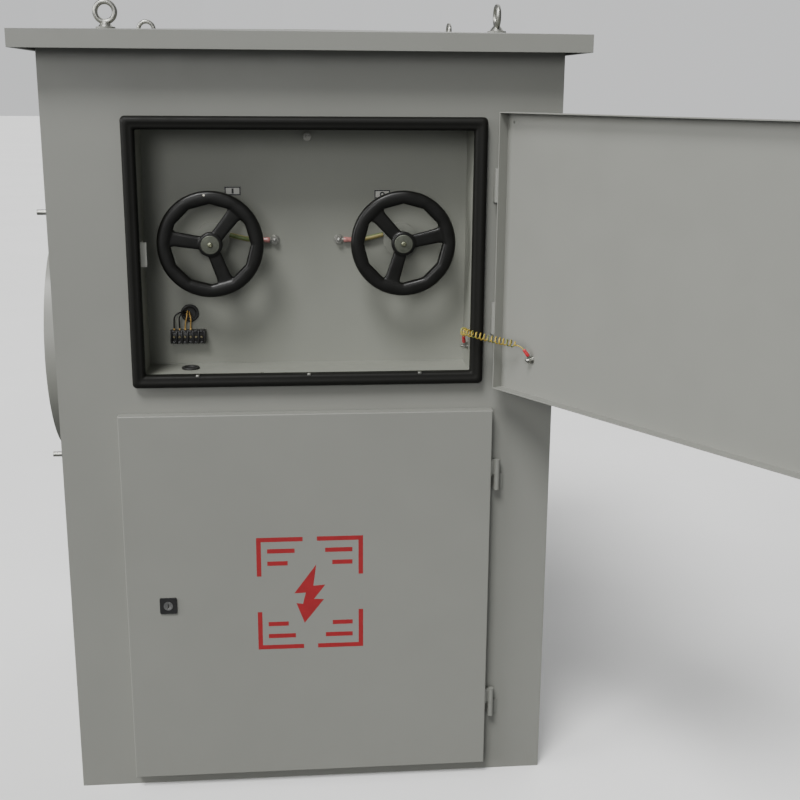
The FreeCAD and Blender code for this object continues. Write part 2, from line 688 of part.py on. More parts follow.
def recess_gasket():
    """A rubber frame pushed over the lip: a slotted foot and a rounded bulb outside it."""
    inner_half = RECESS_HALF - GASKET_COVER
    low = RECESS_FLOOR + GASKET_COVER
    high = RECESS_CEILING - GASKET_COVER
    width = GASKET_WIDTH
    y0 = FRONT - GASKET_HEIGHT
    outer = rounded_block(-inner_half - width, inner_half + width, y0, FRONT,
                          low - width, high + width, GASKET_CORNER_R)
    edges = [e for e in outer.Edges if all(abs(v.Point.y - y0) < 0.01 for v in e.Vertexes)]
    outer = outer.makeFillet(8.0, edges)
    hole = box(-inner_half, inner_half, y0 - 1, FRONT + 1, low, high)
    wall = RECESS_SHEET
    slot_top = FRONT - RECESS_LIP
    slot = box(-RECESS_HALF - wall, RECESS_HALF + wall, slot_top, FRONT + 1,
               RECESS_FLOOR - wall, RECESS_CEILING + wall)
    slot = slot.cut(box(-RECESS_HALF, RECESS_HALF, slot_top - 1, FRONT + 2, RECESS_FLOOR, RECESS_CEILING))
    return outer.cut(hole).cut(slot)


GROMMET_R = 17.5
WALL_GROMMET = Vector(-230.5, RECESS_BACK, AXIS_Z - 143.0)
FLOOR_GROMMET = Vector(-229.0, FRONT + 54.0, RECESS_FLOOR)
GROMMET_BORE_R = 10.0


def grommet(place, inward):
    """A rubber ring snapped into a sheet: a lip on each side of the groove."""
    wall = inward * RECESS_SHEET
    face = rod(GROMMET_R, place - inward * 4, place)
    groove = rod(GROMMET_R - 3, place, place + wall)
    rear = rod(GROMMET_R, place + wall, place + wall + inward * 3)
    whole = union([face, groove, rear])
    return whole.cut(rod(GROMMET_BORE_R, place - inward * 5, place + wall + inward * 4))


def cable_grommets():
    return [grommet(WALL_GROMMET, Vector(0, 1, 0)), grommet(FLOOR_GROMMET, Vector(0, 0, -1))]


KEEPER_HEIGHT = 46.0


def door_keeper():
    """A small grey angle on the recess's left wall."""
    z = AXIS_Z - 18.0
    half = KEEPER_HEIGHT / 2
    x = -RECESS_HALF
    foot = box(x, x + 2.5, FRONT + 24, FRONT + 54, z - half, z + half)
    tongue = box(x, x + 11, FRONT + 24, FRONT + 26.5, z - half, z + half)
    return union([foot, tongue])


LABEL_LENGTH = 31.0
LABEL_HEIGHT = 17.0


def label_plates():
    plates = []
    for x, z in ((-WHEEL_X + 41, AXIS_Z + 93.5), (WHEEL_X - 35, AXIS_Z + 87.0)):
        plates.append(rounded_block(x - LABEL_LENGTH / 2, x + LABEL_LENGTH / 2, RECESS_BACK - 1, RECESS_BACK,
                                    z - LABEL_HEIGHT / 2, z + LABEL_HEIGHT / 2, 1.5))
    return plates


BOND_STUD_X = 62.0
TERMINAL_X = -235.0
TERMINAL_LENGTH = 68.0
TERMINAL_HEIGHT = 26.0
TERMINAL_DEPTH = 20.0
TERMINAL_BELOW_GROMMET = 45.0
TERMINAL_Z = WALL_GROMMET.z - TERMINAL_BELOW_GROMMET
TERMINAL_WAYS = 6
TERMINAL_FIN = 2.0
TERMINAL_SCREW_R = 3.2
CONTROL_WIRES = 4         # in the first ways from the left
EARTH_STUD = Vector(RECESS_HALF, FRONT + 38.0, RECESS_FLOOR + 42.0)


def terminal_block():
    half = TERMINAL_HEIGHT / 2
    length = TERMINAL_LENGTH / 2
    y1 = RECESS_BACK
    y0 = y1 - TERMINAL_DEPTH
    block = box(TERMINAL_X - length, TERMINAL_X + length, y0 + 6, y1, TERMINAL_Z - half, TERMINAL_Z + half)
    pitch = (TERMINAL_LENGTH - 4) / TERMINAL_WAYS
    for k in range(TERMINAL_WAYS + 1):
        x = TERMINAL_X + (k - TERMINAL_WAYS / 2) * pitch
        fin = box(x - TERMINAL_FIN / 2, x + TERMINAL_FIN / 2, y0, y1, TERMINAL_Z - half, TERMINAL_Z + half)
        block = block.fuse(fin)
    return block.removeSplitter()


def terminal_places():
    pitch = (TERMINAL_LENGTH - 4) / TERMINAL_WAYS
    y = RECESS_BACK - TERMINAL_DEPTH + 6
    first = TERMINAL_X - (TERMINAL_WAYS - 1) / 2 * pitch
    return [Vector(first + k * pitch, y, TERMINAL_Z) for k in range(TERMINAL_WAYS)]


def stud_set(place, along, length):
    """A stud with its washer and nut, as separate pieces."""
    stud = rod(3.0, place, place + along * length)
    washer = pipe(7.0, 3.0, place, place + along * 2)
    nut = hexagon(10.0, 5.0, place + along * 4, along).cut(stud)
    lug = pipe(6.5, 3.0, place + along * 2, place + along * 4)
    return [stud, washer, lug, nut]


def recess_fasteners():
    out = Vector(0, -1, 0)
    pieces = []
    for x in (-BOND_STUD_X, BOND_STUD_X):
        pieces += stud_set(Vector(x, RECESS_BACK, AXIS_Z), out, 14)
    pieces += stud_set(Vector(3, RECESS_BACK, RECESS_CEILING - 18), out, 11)
    pieces += stud_set(EARTH_STUD, Vector(-1, 0, 0), 14)
    for place in terminal_places():
        head = rod(TERMINAL_SCREW_R, place, place + out * 2.5)
        slot = box(place.x - 5, place.x + 5, place.y - 3, place.y - 1.5, place.z - 0.6, place.z + 0.6)
        pieces.append(head.cut(slot))
    return pieces


SLEEVE_R = 3.6
SLEEVE_LENGTH = 16.0
SLEEVE_OFF_WALL = 4.2
BOND_LUG_REACH = 7.3      # stud to the sleeve's end


def sleeve(start, end):
    """An insulating sleeve over a lug's neck, open for the lead's end."""
    along = end.sub(start).normalize()
    return rod(SLEEVE_R, start, start + along * SLEEVE_LENGTH)


def bond_points(sign):
    """From the lug beside the stud to the back of the shaft's bearing."""
    y = RECESS_BACK - SLEEVE_OFF_WALL
    start = Vector(sign * (BOND_STUD_X + BOND_LUG_REACH + SLEEVE_LENGTH), y, AXIS_Z)
    return [start, Vector(sign * (BOND_STUD_X + 38), y, AXIS_Z),
            Vector(sign * (BOND_STUD_X + 62), y - 4, AXIS_Z + 6),
            Vector(sign * (WHEEL_X - BEARING_FLANGE_R - 1), y, AXIS_Z + 14)]


def bonding_leads():
    return [smooth_tube("bonding lead", bond_points(sign), BOND_R) for sign in (-1, 1)]


# The curly earth lead: up from the wall stud, out over the gasket and across to the door.
FLEX_START = Vector(RECESS_HALF - 13.0, FRONT + 16.0, EARTH_STUD.z + 36.0)


def door_bolt_place(out):
    """A point beside the door's earth stud, this far off the door's inside, with the door open."""
    x = UPPER_DOOR_RIGHT - DOOR_BOLT_ALONG
    y = FRONT - UPPER_DOOR_DEPTH + DOOR_SHEET + out
    turn = math.radians(UPPER_DOOR_OPEN)
    dx = x - UPPER_PIN_X
    dy = y - PIN_Y
    return Vector(UPPER_PIN_X + dx * math.cos(turn) - dy * math.sin(turn),
                  PIN_Y + dx * math.sin(turn) + dy * math.cos(turn), UPPER_DOOR_BOTTOM + DOOR_BOLT_UP)


DOOR_LUG = door_bolt_place(8.0) + Vector(0, 0, 7.5)
FLEX_END = DOOR_LUG + Vector(-15.0, 4.0, 21.0)
WALL_LUG = EARTH_STUD + Vector(-8.0, -4.0, 7.5)


def flex_points():
    """The middle of the curly stretch: round the gasket's edge and on to the door."""
    corner = FRONT - GASKET_HEIGHT
    return [FLEX_START, Vector(FLEX_START.x - 1, corner + 4, FLEX_START.z + 2),
            Vector(FLEX_START.x + 14, corner - 20, FLEX_START.z + 1),
            Vector(FLEX_START.x + 50, corner - 38, FLEX_START.z - 6), FLEX_END]


def earth_lead():
    coil = smooth_tube("curly earth lead", flex_points(), FLEX_R)
    first = rod(LEAD_R, sleeve_end(WALL_LUG, FLEX_START), FLEX_START)
    last = rod(LEAD_R, FLEX_END, sleeve_end(DOOR_LUG, FLEX_END))
    return [coil, first.cut(coil), last.cut(coil)]


def sleeve_end(lug, towards):
    along = towards.sub(lug).normalize()
    return lug + along * SLEEVE_LENGTH


def lug_sleeves():
    pieces = []
    for sign in (-1, 1):
        start = Vector(sign * (BOND_STUD_X + BOND_LUG_REACH), RECESS_BACK - SLEEVE_OFF_WALL, AXIS_Z)
        pieces.append(sleeve(start, start + Vector(sign, 0, 0)))
    pieces.append(sleeve(WALL_LUG, FLEX_START))
    return pieces


def door_lug_sleeve():
    return sleeve(DOOR_LUG, FLEX_END)


def control_wires():
    """Four wires from the terminal block up into the wall grommet."""
    wires = []
    for k, place in enumerate(terminal_places()[:CONTROL_WIRES]):
        spread = k - (CONTROL_WIRES - 1) / 2
        start = Vector(place.x, RECESS_BACK - 7.0, TERMINAL_Z + TERMINAL_HEIGHT / 2)
        entry = WALL_GROMMET + Vector(spread * 4.2, 0, -2 if k % 2 else 2)
        rise = start + Vector(0, 0, 9)
        bow = (rise + entry) * 0.5 + Vector(spread * 2.0, -12 - 3 * (k % 2), 4)
        ahead = entry + Vector(0, -9, 1)
        route = [start, rise, bow, ahead, entry + Vector(0, 6, 1)]
        wires.append(smooth_tube("control wire", route, CONTROL_WIRE_R))
    return wires


# ---- handwheels, shafts and isolators ----

def handwheel(x, first_spoke):
    """A moulded handwheel: a rounded rim, three spokes and a hub bored for the shaft."""
    y0 = FRONT + WHEEL_BACK
    centre = Vector(x, y0, AXIS_Z)
    along = Vector(0, 1, 0)
    rim = pipe(WHEEL_R, WHEEL_R - RIM_WIDTH, centre, centre + along * RIM_DEPTH)
    rim = rim.makeFillet(8.5, [e for e in rim.Edges if e.Curve.TypeId == "Part::GeomCircle"])
    pieces = [rim, rod(HUB_R, centre + along * 2, centre + along * (2 + HUB_LENGTH))]
    middle = y0 + RIM_DEPTH / 2
    for k in range(3):
        spoke = box(x + HUB_R * 0.5, x + WHEEL_R - RIM_WIDTH / 2, middle - SPOKE_T / 2, middle + SPOKE_T / 2,
                    AXIS_Z - SPOKE_WIDTH / 2, AXIS_Z + SPOKE_WIDTH / 2)
        spoke = spoke.makeFillet(5.0, [e for e in spoke.Edges if abs(e.tangentAt(0).x) > 0.9])
        pieces.append(turned(spoke, -(first_spoke + 120 * k), centre, along))
    wheel = union(pieces)
    return wheel.cut(rod(SHAFT_R, centre - along * 5, centre + along * 60))


def hub_disc(x):
    along = Vector(0, 1, 0)
    face = Vector(x, FRONT + WHEEL_BACK + 2, AXIS_Z)
    disc = rod(HUB_DISC_R, face - along * HUB_DISC_T, face)
    screw = rod(5.0, face - along * (HUB_DISC_T + 2.5), face - along * HUB_DISC_T)
    slot = box(x - 6, x + 6, face.y - HUB_DISC_T - 3, face.y - HUB_DISC_T - 1.3, AXIS_Z - 0.7, AXIS_Z + 0.7)
    return [disc, screw.cut(slot)]


def operating_shaft(x):
    return rod(SHAFT_R, Vector(x, FRONT + WHEEL_BACK + 2, AXIS_Z), Vector(x, SHAFT_END, AXIS_Z))


def shaft_bearings():
    """Flanged bearings in the recess's back: a flange in front and a housing behind."""
    bearings = []
    for x in (-WHEEL_X, WHEEL_X):
        face = Vector(x, RECESS_BACK, AXIS_Z)
        flange = rod(BEARING_FLANGE_R, face - Vector(0, BEARING_FLANGE_T, 0), face)
        housing = rod(BEARING_R, face, face + Vector(0, 24, 0))
        whole = union([flange, housing])
        bore = rod(SHAFT_R + RUNNING, face - Vector(0, 20, 0), face + Vector(0, 40, 0))
        bearings.append(whole.cut(bore))
    return bearings


def insulated_shaft(x):
    start = Vector(x, SHAFT_END - SHAFT_OVERLAP, AXIS_Z)
    end = Vector(x, REAR_BEARING_Y - 12, AXIS_Z)
    body = rod(INSULATED_SHAFT_R, start, end)
    journal = rod(SHAFT_R, end, Vector(x, REAR_BEARING_Y + BRACKET_T + 6, AXIS_Z))
    return union([body, journal]).cut(rod(SHAFT_R, start, Vector(x, SHAFT_END, AXIS_Z)))


def blades(x):
    shapes = []
    for y in PHASES:
        bar = box(x - BLADE_R, x + BLADE_R, y - BLADE_T / 2, y + BLADE_T / 2,
                  AXIS_Z - BLADE_WIDTH / 2, AXIS_Z + BLADE_WIDTH / 2)
        near = Vector(x, y - BLADE_CLAMP_T / 2, AXIS_Z)
        clamp = rod(BLADE_CLAMP_R, near, near + Vector(0, BLADE_CLAMP_T, 0))
        bore = rod(INSULATED_SHAFT_R, Vector(x, y - 30, AXIS_Z), Vector(x, y + 30, AXIS_Z))
        shapes.append(bar.fuse(clamp).cut(bore).removeSplitter())
    return shapes


def post_places():
    places = []
    for x in (-WHEEL_X, WHEEL_X):
        for side in (-1, 1):
            for y in PHASES:
                places.append((Vector(x + side * POST_OFFSET, y, SHELF_Z), side))
    return places


def post_insulators():
    """Ribbed posts, each turned from one outline."""
    height = POST_TOP - SHELF_Z
    pitch = height / (SHED_COUNT + 1)
    outline = [Vector(0, 0, 0), Vector(SHED_R, 0, 0), Vector(SHED_R, 0, 8), Vector(INSULATOR_R, 0, 12)]
    for k in range(1, SHED_COUNT + 1):
        z = k * pitch
        outline += [Vector(INSULATOR_R, 0, z - 7), Vector(SHED_R, 0, z - 3), Vector(SHED_R, 0, z),
                    Vector(INSULATOR_R, 0, z + 7)]
    outline += [Vector(INSULATOR_R, 0, height), Vector(0, 0, height), Vector(0, 0, 0)]
    post = Part.Face(Part.makePolygon(outline)).revolve(Vector(0, 0, 0), Vector(0, 0, 1), 360)
    post = Part.Solid(post) if post.ShapeType == "Shell" else post
    return [moved(post, place.x, place.y, place.z) for place, _ in post_places()]


def jaw_contacts():
    """A copper jaw on each post: two springy plates that the blade's end enters from the shaft's side."""
    jaws = []
    gap = BLADE_T / 2 + CLEAR
    for place, side in post_places():
        shaft_x = place.x - side * POST_OFFSET
        web = box(place.x - 9, place.x + 9, place.y - gap - JAW_T, place.y + gap + JAW_T, POST_TOP, AXIS_Z + 18)
        xs = sorted((shaft_x + side * (BLADE_R - 16), place.x))
        front = box(*xs, place.y - gap - JAW_T, place.y - gap, AXIS_Z - 14, AXIS_Z + 14)
        rear = box(*xs, place.y + gap, place.y + gap + JAW_T, AXIS_Z - 14, AXIS_Z + 14)
        jaws.append(union([web, front, rear]))
    return jaws


def bus_links():
    """Flat bars that join the two isolators' inner jaws, one to each phase."""
    reach = WHEEL_X - POST_OFFSET - 9
    links = []
    for y in PHASES:
        links.append(box(-reach, reach, y - BUS_T / 2, y + BUS_T / 2, POST_TOP + 2, POST_TOP + 2 + BUS_WIDTH))
    return links


def rear_bearing_brackets():
    brackets = []
    y = REAR_BEARING_Y
    for x in (-WHEEL_X, WHEEL_X):
        plate = box(x - 40, x + 40, y, y + BRACKET_T, SHELF_Z, AXIS_Z + 35)
        foot = box(x - 40, x + 40, y, y + 60, SHELF_Z, SHELF_Z + BRACKET_T)
        bore = rod(SHAFT_R + RUNNING, Vector(x, y - 1, AXIS_Z), Vector(x, y + BRACKET_T + 1, AXIS_Z))
        brackets.append(union([plate, foot]).cut(bore))
    return brackets


# the cables rise midway between the outer posts' sheds and the side wall
CABLE_X = (WHEEL_X + POST_OFFSET + SHED_R + HALF - SHEET) / 2


def partition_shelf():
    """The steel shelf between the two compartments, with its edges turned down."""
    x = HALF - SHEET - POST_LEG
    y = BACK - SHEET - POST_LEG
    outer = box(-HALF + SHEET, HALF - SHEET, FRONT + SHEET, BACK - SHEET, SHELF_Z - SHELF_T, SHELF_Z)
    skirt = box(-x, x, -y, y, SHELF_Z - 30, SHELF_Z - SHELF_T)
    skirt = skirt.cut(box(SHELF_T - x, x - SHELF_T, SHELF_T - y, y - SHELF_T, 0, SHELF_Z))
    shelf = outer.fuse(skirt)
    for sx in (-1, 1):
        for sy in (-1, 1):
            corner_x = sorted((sx * HALF, sx * (HALF - SHEET - POST_LEG)))
            corner_y = sorted((sy * BACK, sy * (BACK - SHEET - POST_LEG)))
            shelf = shelf.cut(box(*corner_x, *corner_y, SHELF_Z - 10, SHELF_Z + 1))
    for y_phase in PHASES:
        place = Vector(CABLE_X, y_phase, SHELF_Z + 1)
        shelf = shelf.cut(rod(HV_CABLE_R + 1, place, place - Vector(0, 0, SHELF_T + 2)))
    return shelf.removeSplitter()


# ---- transformer ----

def transformer_core():
    """A three-limb laminated core: two yokes and three limbs."""
    half = LIMB / 2
    reach = LIMB_SPACING + half
    pieces = [box(-reach, reach, -half, half, CORE_Z, CORE_Z + LIMB),
              box(-reach, reach, -half, half, CORE_TOP - LIMB, CORE_TOP)]
    for x in (-LIMB_SPACING, 0, LIMB_SPACING):
        pieces.append(box(x - half, x + half, -half, half, CORE_Z, CORE_TOP))
    return union(pieces)


def core_clamps():
    """Channels bolted each side of the yokes, the lower pair on feet."""
    half = LIMB / 2
    reach = LIMB_SPACING + half + 20
    floor = FLOOR_Z + FLOOR_T
    clamps = []
    for sign in (-1, 1):
        ys = sorted((sign * half, sign * (half + CLAMP_DEPTH)))
        foot_y = sorted((sign * half, sign * (half + CLAMP_DEPTH + 25)))
        for z in (CORE_Z + 10, CORE_TOP - 10 - CLAMP_HEIGHT):
            bar = box(-reach, reach, *ys, z, z + CLAMP_HEIGHT)
            hollow_y = sorted((sign * (half + 6), sign * (half + CLAMP_DEPTH + 1)))
            bar = bar.cut(box(-reach - 1, reach + 1, *hollow_y, z + 6, z + CLAMP_HEIGHT - 6))
            if z < CORE_TOP / 2:
                for x in (-LIMB_SPACING, LIMB_SPACING):
                    bar = bar.fuse(box(x - 6, x + 6, *ys, floor, z + CLAMP_HEIGHT))
                    bar = bar.fuse(box(x - 30, x + 30, *foot_y, floor, floor + 8))
            clamps.append(bar.removeSplitter())
    return clamps


TERMINAL_UP = 40.0
TERMINAL_OUT = 14.0


def coils():
    """Cast-resin windings with a terminal boss high on the front of each."""
    z0 = CORE_Z + LIMB
    z1 = CORE_TOP - LIMB
    shapes = []
    for x in (-LIMB_SPACING, 0, LIMB_SPACING):
        ring = pipe(COIL_R, COIL_BORE_R, Vector(x, 0, z0), Vector(x, 0, z1))
        boss = box(x - 18, x + 18, -COIL_R - TERMINAL_OUT, -COIL_R + 20, z1 - TERMINAL_UP - 18, z1 - TERMINAL_UP + 18)
        shapes.append(ring.fuse(boss).removeSplitter())
    return shapes


def hv_cable_points(k):
    """From a coil's boss forward, up, across, and up through the shelf to the isolator's outer jaw."""
    x = (k - 1) * LIMB_SPACING
    y_phase = PHASES[k]
    level = CORE_TOP + 50 + (2 - k) * 34
    y0 = -COIL_R - TERMINAL_OUT
    z0 = CORE_TOP - LIMB - TERMINAL_UP
    lane = y0 - 70
    jaw = Vector(WHEEL_X + POST_OFFSET + 9, y_phase, AXIS_Z - 6)
    return [Vector(x, y0, z0), Vector(x, lane, z0), Vector(x, lane - 4, level),
            Vector(CABLE_X, lane, level + 6), Vector(CABLE_X, y_phase, level + 30),
            Vector(CABLE_X, y_phase, jaw.z), jaw]


def hv_cables():
    return [smooth_tube("high-voltage cable", hv_cable_points(k), HV_CABLE_R, HV_CABLE_BEND) for k in range(3)]


def gland_plate():
    """The floor, with a row of cable holes behind the door."""
    x = HALF - SHEET - POST_WALL - 1
    y = BACK - SHEET - POST_WALL - 1
    plate = box(-x, x, -y, y, FLOOR_Z, FLOOR_Z + FLOOR_T)
    inner = POST_LEG
    for sx in (-1, 1):
        for sy in (-1, 1):
            corner_x = sorted((sx * HALF, sx * (x - inner)))
            corner_y = sorted((sy * BACK, sy * (y - inner)))
            plate = plate.cut(box(*corner_x, *corner_y, FLOOR_Z - 1, FLOOR_Z + 10))
    for k in range(3):
        place = Vector((k - 1) * 120.0, FRONT + 160.0, FLOOR_Z - 1)
        plate = plate.cut(rod(30.0, place, place + Vector(0, 0, 10)))
    return plate.removeSplitter()


def earth_bar():
    """A drilled copper bar across the front of the floor, on two spacers."""
    z = FLOOR_Z + FLOOR_T
    y = FRONT + 80.0
    bar = box(-200, 200, y, y + 6, z + 20, z + 50)
    for k in range(8):
        place = Vector(-175 + 50 * k, y - 1, z + 35)
        bar = bar.cut(rod(5.0, place, place + Vector(0, 8, 0)))
    feet = [box(x - 10, x + 10, y + 6, y + 26, z, z + 50) for x in (-190, 190)]
    return [bar] + feet


# ---- round port ----

def port_neck():
    """The rolled neck welded to the side wall, and the ears that carry the swing bolts."""
    wall = -HALF
    end = -HALF - PORT_OUT + COVER_T + PORT_SEAL_T
    centre = Vector(wall, 0, PORT_Z)
    neck = pipe(NECK_R + NECK_WALL, NECK_R, centre, Vector(end, 0, PORT_Z))
    pieces = [neck]
    for sign in (-1, 1):
        z = PORT_Z + sign * CLAMP_FROM_AXIS
        for side in (-1, 1):
            ys = sorted((side * 8, side * 14))
            ear = box(wall - CLAMP_PIVOT_OUT - 10, wall, *ys, z - 13, z + 13)
            bore = rod(CLAMP_PIN_R, Vector(wall - CLAMP_PIVOT_OUT, -20, z), Vector(wall - CLAMP_PIVOT_OUT, 20, z))
            pieces.append(ear.cut(bore))
    return pieces


def port_gasket():
    end = -HALF - PORT_OUT + COVER_T
    return pipe(NECK_R + NECK_WALL + 1, NECK_R - 8, Vector(end + PORT_SEAL_T, 0, PORT_Z), Vector(end, 0, PORT_Z))


def port_cover():
    """A flat lid with a turned edge over the neck and two slotted ears."""
    face = -HALF - PORT_OUT
    disc = rod(PORT_R, Vector(face, 0, PORT_Z), Vector(face + COVER_T, 0, PORT_Z))
    skirt = pipe(PORT_R, PORT_R - 4, Vector(face + COVER_T, 0, PORT_Z), Vector(face + 30, 0, PORT_Z))
    cover = disc.fuse(skirt)
    for sign in (-1, 1):
        zs = sorted((PORT_Z + sign * (PORT_R - 8), PORT_Z + sign * (CLAMP_FROM_AXIS + EAR_PAST_BOLT)))
        ear = box(face, face + 12, -22, 22, *zs)
        slot_z = sorted((PORT_Z + sign * (CLAMP_FROM_AXIS - 8), PORT_Z + sign * (CLAMP_FROM_AXIS + 30)))
        cover = cover.fuse(ear).cut(box(face - 1, face + 13, -CLAMP_BOLT_R - 1, CLAMP_BOLT_R + 1, *slot_z))
    return cover.removeSplitter()


def clamp_pin(sign):
    x = -HALF - CLAMP_PIVOT_OUT
    z = PORT_Z + sign * CLAMP_FROM_AXIS
    return rod(CLAMP_PIN_R, Vector(x, -18, z), Vector(x, 18, z))


def swing_bolt(sign):
    """An eye bolt on its pin with a washer and a nut, backed off so that it can swing clear."""
    z = PORT_Z + sign * CLAMP_FROM_AXIS
    pivot = Vector(-HALF - CLAMP_PIVOT_OUT, 0, z)
    out = Vector(-1, 0, 0)
    eye = rod(10.0, pivot - Vector(0, 7.5, 0), pivot + Vector(0, 7.5, 0))
    end = Vector(-HALF - CLAMP_REACH, 0, z)
    bolt = eye.fuse(rod(CLAMP_BOLT_R, pivot, end)).removeSplitter()
    bolt = bolt.cut(rod(CLAMP_PIN_R + RUNNING, pivot - Vector(0, 9, 0), pivot + Vector(0, 9, 0)))
    seat = Vector(-HALF - PORT_OUT - NUT_BACK_OFF, 0, z)
    washer = pipe(12.0, CLAMP_BOLT_R, seat, seat + out * 2.5)
    nut = hexagon(19.0, 10.0, seat + out * 2.5, out).cut(rod(CLAMP_BOLT_R, pivot, end))
    return [bolt, washer, nut]


def main():
    os.makedirs("parts", exist_ok=True)
    save("base_frame", base_frame())
    save("body_frame", body_frame())
    save("front_panel", front_panel())
    save("left_side_panel", side_panel(-1))
    save("right_side_panel", side_panel(1))
    save("rear_panel", rear_panel())
    save("rear_cover", rear_cover())
    save("rear_cover_bolts", rear_cover_bolts())
    save("roof_cover", roof_cover())
    save("roof_seal", roof_seal())
    save("lifting_eyes", lifting_eyes())
    save("recess_box", recess_box())
    save("recess_gasket", recess_gasket())
    lower = [frame_half(LOWER_PIN_X, z) for z in LOWER_HINGES]
    upper = [frame_half(UPPER_PIN_X, z) for z in UPPER_HINGES]
    save("hinge_frame_halves", lower + upper)
    pins = [hinge_pin(LOWER_PIN_X, z) for z in LOWER_HINGES] + [hinge_pin(UPPER_PIN_X, z) for z in UPPER_HINGES]
    save("hinge_pins", pins + [clamp_pin(-1), clamp_pin(1)])
    save("shaft_bearings", shaft_bearings())
    save("label_plates", label_plates())
    save("recess_fasteners", recess_fasteners())
    save("bonding_leads", bonding_leads())
    save("lug_sleeves", lug_sleeves())
    save("terminal_block", terminal_block())
    save("control_wires", control_wires())
    save("cable_grommets", cable_grommets())
    save("door_keeper", door_keeper())
    save("earth_lead", earth_lead())
    save("port_neck", port_neck())
    save("port_gasket", port_gasket())
    save("port_cover", port_cover())
    save("partition_shelf", partition_shelf())
    save("post_insulators", post_insulators())
    save("jaw_contacts", jaw_contacts())
    save("bus_links", bus_links())
    save("rear_bearing_brackets", rear_bearing_brackets())
    save("transformer_core", transformer_core())
    save("core_clamps", core_clamps())
    save("coils", coils())
    save("hv_cables", hv_cables())
    save("earth_bar", earth_bar())
    save("gland_plate", gland_plate())
    save("upper_door_shell", upper_door_shell())
    save("upper_hinge_door_halves", [opened(door_half(UPPER_PIN_X, z)) for z in UPPER_HINGES])
    save("door_earth_bolt", door_earth_bolt() + [door_lug_sleeve()])
    save("lower_door_shell", lower_door_shell())
    save("lower_hinge_door_halves", [door_half(LOWER_PIN_X, z) for z in LOWER_HINGES])
    save("lower_door_seal", lower_door_seal())
    save("lock_housing", lock_housing())
    save("lock_cylinder", lock_cylinder())
    save("lock_cam", lock_cam())
    save("top_swing_bolt", swing_bolt(1))
    save("bottom_swing_bolt", swing_bolt(-1))
    for side, x, spokes in (("left", -WHEEL_X, LEFT_SPOKES_FROM), ("right", WHEEL_X, RIGHT_SPOKES_FROM)):
        save(side + "_handwheel", handwheel(x, spokes))
        save(side + "_hub_disc", hub_disc(x))
        save(side + "_shaft", operating_shaft(x))
        save(side + "_insulated_shaft", insulated_shaft(x))
        save(side + "_blades", blades(x))


main()
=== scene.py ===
import math

import bmesh
import bpy
from mathutils import Matrix, Vector, noise


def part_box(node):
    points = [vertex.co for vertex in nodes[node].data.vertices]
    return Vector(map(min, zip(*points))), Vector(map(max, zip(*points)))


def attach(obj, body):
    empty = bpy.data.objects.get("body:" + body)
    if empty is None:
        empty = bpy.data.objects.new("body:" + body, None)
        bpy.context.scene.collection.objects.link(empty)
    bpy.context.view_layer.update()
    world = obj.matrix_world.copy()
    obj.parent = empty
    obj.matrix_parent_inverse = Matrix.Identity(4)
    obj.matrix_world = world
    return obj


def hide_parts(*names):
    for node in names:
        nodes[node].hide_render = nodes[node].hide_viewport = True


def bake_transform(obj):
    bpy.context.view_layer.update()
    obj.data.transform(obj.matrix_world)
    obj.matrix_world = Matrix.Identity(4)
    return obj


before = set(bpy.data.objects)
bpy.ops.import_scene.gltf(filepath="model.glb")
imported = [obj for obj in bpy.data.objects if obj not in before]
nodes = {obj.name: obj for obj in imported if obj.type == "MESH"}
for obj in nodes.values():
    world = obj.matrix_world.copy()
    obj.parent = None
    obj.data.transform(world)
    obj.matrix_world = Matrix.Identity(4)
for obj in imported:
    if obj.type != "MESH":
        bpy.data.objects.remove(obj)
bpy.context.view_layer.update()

mm = 0.001


# ---------------------------------------------------------------------------------------------------------
# Base frame. Four folded steel channels welded into a square with two bearers for the transformer; primed
# and painted dark grey. It stands on the foundation and is mostly hidden behind the cladding.
# ---------------------------------------------------------------------------------------------------------

def new_material(name):
    material = bpy.data.materials.new(name)
    material.use_nodes = True
    tree = material.node_tree
    shader = tree.nodes["Principled BSDF"]
    return material, tree, shader


def node(tree, kind, **inputs):
    """Adds a shader node; keyword names are its sockets, with _ for a space."""
    made = tree.nodes.new("ShaderNode" + kind)
    for key, value in inputs.items():
        made.inputs[key.replace("_", " ")].default_value = value
    return made


def shade(colour, factor):
    return [min(1.0, c * factor) for c in colour[:3]] + [1.0]


def place_of(tree):
    """The surface's own coordinates, in metres in the row frame, which travel with the piece."""
    return tree.nodes.new("ShaderNodeTexCoord").outputs["Object"]


def mottle(tree, where, scale, low, high, detail=4.0):
    """A soft cloudy mask from 0 to 1."""
    cloud = node(tree, "TexNoise", Scale=scale, Detail=detail, Roughness=0.6)
    tree.links.new(where, cloud.inputs["Vector"])
    mask = node(tree, "MapRange")
    mask.inputs["From Min"].default_value = low
    mask.inputs["From Max"].default_value = high
    tree.links.new(cloud.outputs["Fac"], mask.inputs["Value"])
    return mask.outputs["Result"]


def blend_colour(tree, mask, first, second):
    """Mixes two colours (or sockets) by a mask."""
    mix = tree.nodes.new("ShaderNodeMix")
    mix.data_type = "RGBA"
    tree.links.new(mask, mix.inputs["Factor"])
    for socket, value in ((mix.inputs[6], first), (mix.inputs[7], second)):
        if isinstance(value, bpy.types.NodeSocket):
            tree.links.new(value, socket)
        else:
            socket.default_value = value
    return mix.outputs[2]


def spread_roughness(tree, shader, mask, low, high):
    ramp = node(tree, "MapRange")
    ramp.inputs["To Min"].default_value = low
    ramp.inputs["To Max"].default_value = high
    tree.links.new(mask, ramp.inputs["Value"])
    tree.links.new(ramp.outputs["Result"], shader.inputs["Roughness"])


